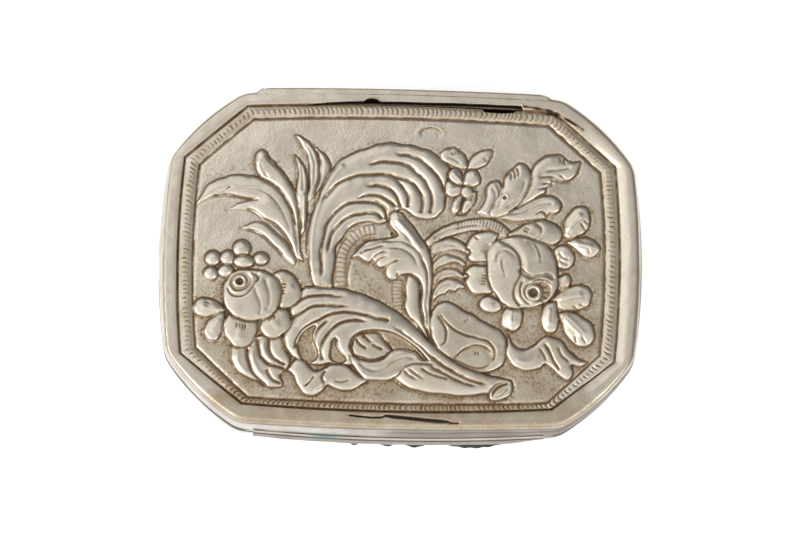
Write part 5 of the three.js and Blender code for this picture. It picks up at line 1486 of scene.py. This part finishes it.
def lid_cover():
    parts = [border_sheet(), band_sheet(), field_sheet()]
    vertices = []
    faces = []
    marks = {"grime_and_shade": [], "wear": [], "matting": []}
    start = 0
    for points, part_faces, part_marks in parts:
        vertices.append(points)
        faces += [[corner + start for corner in face] for face in part_faces]
        for key, values in part_marks.items():
            marks[key].append(values)
        start += len(points)
    joined = {key: np.concatenate(values) for key, values in marks.items()}
    add_piece(
        "chased_cover", np.vstack(vertices), faces, "lid", CHASED, ["lid_cover"],
        marks=joined,
    )


# The box, the lid's side band and the closing parts


def side_section(levels, inset, sheet, round_top=0.0, round_foot=0.0, plan_at=side_plan):
    """A band of sheet that follows the case's side, its edges rounded a little."""

    def pull(z):
        at_top = 1 - min(1.0, (levels[-1] - z) / EDGE_ZONE)
        at_foot = 1 - min(1.0, (z - levels[0]) / EDGE_ZONE)
        return max(round_top * at_top, round_foot * at_foot)

    rows = [ring(plan_at(z), -inset - pull(z), z) for z in levels]
    rows += [ring(plan_at(z), -inset - sheet + pull(z), z) for z in levels[::-1]]
    return np.vstack(rows), quads_between(len(rows), len(rows[0]))


def edged(low, high, steps):
    """Heights from low to high, with two close together at each edge."""
    return [low, low + EDGE_ZONE, *np.linspace(low, high, steps + 1)[1:-1], high - EDGE_ZONE, high]


def hinge_cutter():
    """The round notch that the wall and the lid's side band have for the hinge."""
    half = PLUG_HIGH[0] + SIDE_GAP
    radius = max(CHANNEL_HIGH[1] - HINGE_Y, CHANNEL_OUTSIDE) + HINGE_GAP
    vertices, facets = turned([(-half, radius), (half, radius)], 48)
    mesh = bpy.data.meshes.new("hinge_cutter")
    mesh.from_pydata((vertices * MM).tolist(), [], rod_faces(2, facets))
    cutter = bpy.data.objects.new("hinge_cutter", mesh)
    bpy.context.scene.collection.objects.link(cutter)
    return cutter


def box_wall():
    levels = edged(WALL_LOW[2], WALL_HIGH[2], 22)
    vertices, faces = side_section(levels, 0.0, WALL_SHEET, round_top=0.1)
    x, y, z = vertices.T
    bulge = 0.05 * waves(x + y, z * 2, 16)
    away = np.hypot(x, y)
    fade = smooth((WALL_HIGH[2] - z) / 3) * smooth((z - WALL_LOW[2]) / 3)
    vertices[:, 0] += x / away * bulge * fade
    vertices[:, 1] += y / away * bulge * fade
    near_foot = np.exp(-(z - WALL_LOW[2]) / 0.35)
    # Painted shade and grime: the top of the wall is painted dark near the mouth, below the lid's edge.
    shade_and_grime_near_mouth = smooth((z - WALL_HIGH[2] + 2.1) / 1.7) * (0.85 + 0.2 * waves(x, y, 5))
    grime_and_shade_marks = np.clip(0.8 * near_foot + 1.1 * shade_and_grime_near_mouth, 0, 1)
    piece = add_piece(
        "box_wall", vertices, faces, "box", POLISHED, ["body_wall"], sharp=50,
        marks=stained_and_shaded(grime_and_shade_marks),
    )
    cut_away(piece, hinge_cutter())


def bottom_plate():
    flange = 0.4
    thick = BASE_HIGH[2] - BASE_LOW[2]
    shape = [(-34, 0.0), (-6, 0.0), (-0.6, 0.0), (-0.28, 0.02), (-0.1, 0.09), (0, 0.25), (0, thick - 0.12),
             (-0.04, thick - 0.04), (-0.12, thick), (-0.8, thick), (-6, thick - 0.02), (-34, thick - 0.02)]
    rows = []
    for inset, z in shape:
        if inset < -20:
            rows.append(ring(BASE, 0, z) * (0.02, 0.02, 1))
        elif inset < -3:
            rows.append(ring(BASE, 0, z) * (0.75, 0.7, 1))
        else:
            rows.append(ring(BASE, flange + inset, z))
    vertices = np.vstack(rows)
    grime_and_shade_marks = 0.25 * smooth((vertices[:, 2] - thick + 0.1) / 0.1)
    add_piece(
        "bottom_plate", vertices, rod_faces(len(rows), len(rows[0])), "box", POLISHED,
        ["base_plate"], sharp=40, marks=stained_and_shaded(grime_and_shade_marks),
    )


def inner_lip():
    """The bezel that the lid closes over. Its back is drawn in to clear the hinge."""
    inset = WALL_SHEET + SIDE_GAP
    clear = HINGE_Y - CHANNEL_OUTSIDE - HINGE_GAP

    def plan_at(z):
        plan = side_plan(z)
        return plan._replace(back_y=clear - (plan.radius - inset) - plan.bow_back)

    levels = edged(BEZEL_LOW[2], BEZEL_HIGH[2], 10)
    vertices, faces = side_section(levels, inset, BEZEL_SHEET, 0.16, 0.1, plan_at)
    grime_and_shade_marks = 0.5 * np.exp(-np.abs(vertices[:, 2] - MOUTH_TOP) / 0.3)
    add_piece(
        "inner_lip", vertices, faces, "box", INNER, ["mouth_bezel"], sharp=50,
        marks=stained_and_shaded(grime_and_shade_marks),
    )


def side_band():
    """The lid's side band, dented at the front by the thumbs that opened it."""
    levels = edged(SKIRT_LOW[2], SKIRT_HIGH[2], 12)
    vertices, faces = side_section(levels, 0.0, WALL_SHEET, round_foot=0.06)
    x, y, z = vertices.T
    dent_x, dent_z = 9, 22.1
    vertices[:, 1] += 0.16 * bell(x - dent_x, 7) * bell(z - dent_z, 0.7) * (y < 0)
    vertices[:, 1] += 0.03 * waves(x, z, 8) * smooth((SKIRT_HIGH[2] - z) / 0.5) * (y < 0)
    # Painted shade with grime: the band is painted dark along its top and foot, where it meets the cover and
    # the box, and above the lip.
    crevice_shade_above_lip = np.exp(-np.abs(z - LIP_HIGH[2]) / 0.16) * (np.abs(x) < LIP_HIGH[0] + 0.4) * (y < -20)
    grime_and_shade_marks = np.maximum(0.3 * crevice_shade_above_lip, 0.8 * np.exp(-(SKIRT_HIGH[2] - z) / 0.16))
    grime_and_shade_marks = np.maximum(grime_and_shade_marks, 1.1 * np.exp(-(z - SKIRT_LOW[2]) / 0.3))
    # Round the corners the foot is painted dark: painted shade under the lid's edge, with grime.
    corner_foot_shade = smooth((np.abs(x) - LIP_HIGH[0]) / 2) * (y < -4)
    grime_and_shade_marks = np.maximum(grime_and_shade_marks, corner_foot_shade * smooth((SKIRT_LOW[2] + 1.5 - z) / 0.6))
    # Darker towards the right, with two darker lines along the dent at the front.
    lines = bell(z - dent_z - 0.5, 0.1) + bell(z - dent_z + 0.2, 0.08)
    grime_and_shade_marks = np.maximum(grime_and_shade_marks, (0.5 + 0.4 * lines * (y < 0)) * smooth((x + 9) / 12))
    # Behind the split the band is painted fully dark: painted shade seen through the split.
    shade_behind_split = (y > 24) & (y < WALL_HIGH[1] - 0.3) & (np.abs(x) < 24)
    grime_and_shade_marks = np.where(shade_behind_split, 1.0, grime_and_shade_marks)
    green = bell(x + 12.2, 2.4) * np.exp(-np.abs(z - LIP_HIGH[2]) / 0.3) * (y < -20)
    piece = add_piece(
        "side_band", vertices, faces, "lid", POLISHED, ["lid_skirt"], sharp=50,
        marks=stained_and_shaded(grime_and_shade_marks, green),
    )
    cut_away(piece, hinge_cutter())


def front_line(x, z):
    """How far forward the outside of the case is, at places along the front."""
    points = outline(side_plan(z))
    ahead = points[(points[:, 1] < 0) & (np.abs(points[:, 0]) < 30)]
    order = np.argsort(ahead[:, 0])
    return np.interp(x, ahead[order, 0], ahead[order, 1])


def strip_along_front(stations, section, ragged):
    """A strip swept along the front: section gives outward distance and height at a share of its reach."""
    rows = []
    for k, x in enumerate(stations):
        back = front_line(x, LID_BOTTOM)
        rows.append([(x, back - out * ragged[k], z) for out, z in section])
    return np.array(rows).reshape(-1, 3), rod_faces(len(stations), len(section), turned_over=True)


def lip():
    """The thumb lip: a strip of thick sheet soldered along the foot of the side band, worn round."""
    stations = np.linspace(LIP_LOW[0], LIP_HIGH[0], 121)
    reach, low, high = 0.9, LIP_LOW[2], LIP_HIGH[2]
    section = [
        (0.03, low), (reach * 0.5, low), (reach * 0.8, low + 0.02), (reach * 0.93, low + 0.1),
        (reach, low + 0.26), (reach * 0.99, low + 0.42), (reach * 0.93, low + 0.58),
        (reach * 0.8, high - 0.08), (reach * 0.6, high), (0.46, high + 0.01), (0.38, high + 0.01),
        (0.3, high + 0.02), (0.22, high + 0.04), (0.14, high + 0.09), (0.06, high + 0.16),
        (-0.1, high + 0.3), (-0.1, low + 0.2),
    ]
    worn = 1 - 0.05 * np.abs(waves(stations, stations * 0, 6)) - 0.5 * smooth((stations - 18) / 6)
    vertices, faces = strip_along_front(stations, section, worn)
    x, y, z = vertices.T
    out = front_line(x, LID_BOTTOM) - y
    # Painted shade with grime: a dark line along the lip's top, in the crevice where it meets the side band.
    grime_and_shade_marks = 1.1 * bell(out - 0.3, 0.12) * (z > high - 0.05)
    grime_and_shade_marks = np.maximum(grime_and_shade_marks, 0.45 * smooth((out - 0.3) / 0.1))
    green = 0.9 * bell(x + 12.2, 2.6) * bell(out, 0.3) * (z > low + 0.5)
    add_piece(
        "worn_thumb_lip", vertices, faces, "lid", POLISHED, ["thumb_lip"], sharp=50,
        marks=stained_and_shaded(grime_and_shade_marks, green),
    )


def grime_and_shade_lumps():
    """Dark lumps under the thumb lip, on the box's front: grime and painted shade. They show in front of the
    lip.
    """
    stretches = [(-8.5, -6.0, 1.1), (-3.9, 0.0, 1.1), (0.2, 5.4, 1.2), (6.7, 18.9, 1.38)]
    for number, (start, end, reach) in enumerate(stretches, 1):
        stations = np.linspace(start, end, max(12, int((end - start) * 5)))
        t = (stations - start) / (end - start)
        bow = np.power(np.clip(np.sin(math.pi * t), 0.02, 1), 0.6) * reach
        bow *= 1 + 0.05 * np.sin(stations * 3)
        top = LID_BOTTOM - 0.12
        section = [(0.0, top), (0.5, top), (0.85, top - 0.03), (1.0, top - 0.12), (0.9, top - 0.3),
                   (0.6, top - 0.5), (0.0, top - 0.7)]
        vertices, faces = strip_along_front(stations, section, bow)
        add_piece(f"grime_and_shade_lumps_{number}", vertices, faces, "box", LUMPS_OF_GRIME_AND_SHADE, sharp=60)


# The hinge


def turned(profile, facets=40):
    """A shape turned about the pin. The profile holds distance along X and radius."""
    angles = np.linspace(0, 2 * math.pi, facets + 1)[:-1]
    rows = [
        np.column_stack([
            np.full(facets, x), HINGE_Y + radius * np.cos(angles), HINGE_Z + radius * np.sin(angles),
        ])
        for x, radius in profile
    ]
    return np.vstack(rows), facets


def knuckle(node, body):
    low, high = node_box(node)
    start, end = low[0], high[0]
    outer = (high[1] - low[1]) / 2
    bore = PIN_BORE
    edge = 0.07
    # A tube with its ends filed, its outside very slightly wavy.
    profile = [
        (start + edge, bore), (start, bore + edge), (start, outer - edge), (start + edge, outer),
        *[(x, outer - 0.012 * math.sin(7 * x)) for x in np.linspace(start + 0.3, end - 0.3, 11)],
        (end - edge, outer), (end, outer - edge), (end, bore + edge), (end - edge, bore),
    ]
    vertices, facets = turned(profile)
    x = vertices[:, 0]
    near_end = np.minimum(x - start, end - x)
    grime_and_shade_marks = 0.85 * np.exp(-near_end / 0.16)
    faces = quads_between(len(profile), facets)[:, ::-1]
    add_piece(
        node.replace("knuckle", "hinge_tube"), vertices, faces, body, HINGE_SILVER,
        [node], sharp=40, marks=stained_and_shaded(grime_and_shade_marks),
    )


def pin():
    start, end = PIN_LOW[0], PIN_HIGH[0]
    radius = (PIN_HIGH[1] - PIN_LOW[1]) / 2
    profile = [(start, 0.02), (start, radius - 0.08), (start + 0.08, radius)]
    profile += [(x, radius) for x in np.linspace(start + 1, end - 1, 24)]
    profile += [(end - 0.08, radius), (end, radius - 0.08), (end, 0.02)]
    vertices, facets = turned(profile, 24)
    faces = rod_faces(len(profile), facets, turned_over=True)
    add_piece("steel_hinge_wire", vertices, faces, "box", STEEL, ["hinge_pin"], sharp=40)


def plug(node, side):
    low, high = node_box(node)
    inner = low[0] if side > 0 else -high[0]
    tip = high[0] if side > 0 else -low[0]
    head = (high[1] - low[1]) / 2
    stem = 0.45
    face = tip - 0.3
    profile = [
        (inner, 0.02), (inner, stem - 0.05), (inner + 0.05, stem), (face, stem), (face, head - 0.04),
        (face + 0.05, head), (face + 0.14, head * 0.95), (face + 0.22, head * 0.72),
        (face + 0.28, head * 0.4), (tip, 0.02),
    ]
    vertices, facets = turned([(side * x, radius) for x, radius in profile], 32)
    faces = rod_faces(len(profile), facets, turned_over=side > 0)
    grime_and_shade_marks = 0.6 * (np.hypot(vertices[:, 1] - HINGE_Y, vertices[:, 2] - HINGE_Z) > head * 0.9)
    add_piece(
        node.replace("pin_plug", "peened_plug"), vertices, faces, "box", HINGE_SILVER,
        [node], sharp=50, marks=stained_and_shaded(grime_and_shade_marks),
    )


def hinge_channel(node, body, start, end):
    """A half-round channel bent from sheet, between two angles about the pin, in degrees."""
    inner, outer = CHANNEL_INSIDE, CHANNEL_OUTSIDE
    angles = np.radians(np.linspace(start, end, 33))
    edge = 0.05
    section = [(outer - edge, angles[0]), *[(outer, a) for a in angles[1:-1]], (outer - edge, angles[-1])]
    section += [(inner + edge, angles[-1]), *[(inner, a) for a in angles[-2:0:-1]]]
    section += [(inner + edge, angles[0])]
    stations = np.linspace(-HINGE_HALF, HINGE_HALF, 61)
    rows = [
        [(x, HINGE_Y + radius * math.cos(a), HINGE_Z + radius * math.sin(a)) for radius, a in section]
        for x in stations
    ]
    vertices = np.array(rows).reshape(-1, 3)
    faces = rod_faces(len(stations), len(section), turned_over=True)
    radius = np.hypot(vertices[:, 1] - HINGE_Y, vertices[:, 2] - HINGE_Z)
    grime_and_shade_marks = 0.6 * (radius < 1.1)
    add_piece(
        node.replace("hinge_channel", "channel_strip"), vertices, faces, body,
        HINGE_SILVER, [node], sharp=40, marks=stained_and_shaded(grime_and_shade_marks),
    )


def build_case():
    lid_cover()
    side_band()
    lip()
    grime_and_shade_lumps()
    box_wall()
    bottom_plate()
    inner_lip()
    for number in range(1, 6):
        knuckle(f"body_knuckle_{number}", "box")
    for number in range(1, 5):
        knuckle(f"lid_knuckle_{number}", "lid")
    pin()
    plug("pin_plug_left", -1)
    plug("pin_plug_right", 1)
    hinge_channel("body_hinge_channel", "box", 183, 310)
    hinge_channel("lid_hinge_channel", "lid", 60, 177)


# Camera, floor and light

PIXELS_PER_MM = 6.0
IMAGE_WIDTH = 800
IMAGE_MIDDLE = (400, 266.5)
LID_MIDDLE = (402, 259)  # pixel of the middle of the lid
CAMERA_AWAY = 600.0
TILT = math.radians(9.5)  # towards the front
SIDE_TILT = math.radians(2.5)  # towards the left
CAMERA_TURN = math.radians(0.8)


def add_camera():
    back = Vector((-math.tan(SIDE_TILT), -math.tan(TILT), 1)).normalized()
    up = Vector((-math.sin(CAMERA_TURN), math.cos(CAMERA_TURN), 0))
    right = up.cross(back).normalized()
    up = back.cross(right)
    off_x = (LID_MIDDLE[0] - IMAGE_MIDDLE[0]) / PIXELS_PER_MM
    off_y = (IMAGE_MIDDLE[1] - LID_MIDDLE[1]) / PIXELS_PER_MM
    place = Vector((0, 0, CREST - 0.5)) + back * CAMERA_AWAY - right * off_x - up * off_y
    data = bpy.data.cameras.new("camera")
    data.sensor_width = 36
    data.lens = PIXELS_PER_MM * CAMERA_AWAY / IMAGE_WIDTH * data.sensor_width
    data.clip_start = 0.01
    data.clip_end = 10
    camera = bpy.data.objects.new("camera", data)
    camera.matrix_world = Matrix((
        (right.x, up.x, back.x, place.x * MM),
        (right.y, up.y, back.y, place.y * MM),
        (right.z, up.z, back.z, place.z * MM),
        (0, 0, 0, 1),
    ))
    bpy.context.scene.collection.objects.link(camera)
    bpy.context.scene.camera = camera


def add_floor():
    mesh = bpy.data.meshes.new("floor")
    half = 3.0
    corners = [(-half, -half, 0), (half, -half, 0), (half, half, 0), (-half, half, 0)]
    mesh.from_pydata(corners, [], [(0, 1, 2, 3)])
    floor = bpy.data.objects.new("floor", mesh)
    bpy.context.scene.collection.objects.link(floor)
    material = bpy.data.materials.new("white_paper")
    material.use_nodes = True
    tree = material.node_tree
    tree.nodes.clear()
    rays = add_node(tree, "LightPath")
    seen = sums(tree, "MAXIMUM", rays.outputs["Is Camera Ray"], rays.outputs["Is Glossy Ray"])
    seen = sums(tree, "MAXIMUM", seen, rays.outputs["Is Transmission Ray"])
    paper = add_node(tree, "BsdfDiffuse", {"Color": linear("E4E4E4")})
    strength = sums(tree, "MULTIPLY", seen, 0.5)
    glow = add_node(tree, "Emission", {"Color": linear("FFFFFF"), "Strength": strength})
    both = add_node(tree, "AddShader", {0: paper.outputs[0], 1: glow.outputs[0]})
    add_node(tree, "OutputMaterial", {"Surface": both.outputs[0]})
    mesh.materials.append(material)


def add_softbox(name, place, size, power):
    """A rectangular softbox that faces the case."""
    data = bpy.data.lights.new(name, "AREA")
    data.shape = "RECTANGLE"
    data.size, data.size_y = size
    data.energy = power
    light = bpy.data.objects.new(name, data)
    light.location = place
    light.rotation_euler = (-Vector(place)).to_track_quat("-Z", "Y").to_euler()
    bpy.context.scene.collection.objects.link(light)


def add_surroundings():
    """A pale room: lighter at the front and left, darker behind and to the right."""
    world = bpy.data.worlds.new("pale_room")
    bpy.context.scene.world = world
    world.use_nodes = True
    tree = world.node_tree
    tree.nodes.clear()
    direction = add_node(tree, "TexCoord").outputs["Generated"]
    toward = add_node(
        tree, "VectorMath", {0: direction, 1: (-0.42, -0.78, 0.46)}, operation="DOT_PRODUCT"
    )
    level = add_node(
        tree, "MapRange", {0: toward.outputs["Value"], 1: -0.4, 2: 0.95, 3: 0.3, 4: 1.36},
        interpolation_type="SMOOTHSTEP",
    )
    room = add_node(tree, "Background", {"Color": linear("FBFAF8"), "Strength": level.outputs[0]})
    add_node(tree, "OutputWorld", {"Surface": room.outputs[0]})
    add_softbox("front_left_softbox", (-0.85, -0.45, 0.8), (1.0, 0.9), 6.5)
    add_softbox("front_right_softbox", (0.75, -0.75, 0.7), (0.6, 0.6), 2.0)
    # A small one close above the upper left corner, so that the lid darkens to the lower right.
    add_softbox("upper_left_softbox", (-0.11, 0.16, 0.3), (0.25, 0.25), 0.11)


build_case()
add_camera()
add_floor()
add_surroundings()
bpy.context.scene.view_settings.view_transform = "Standard"
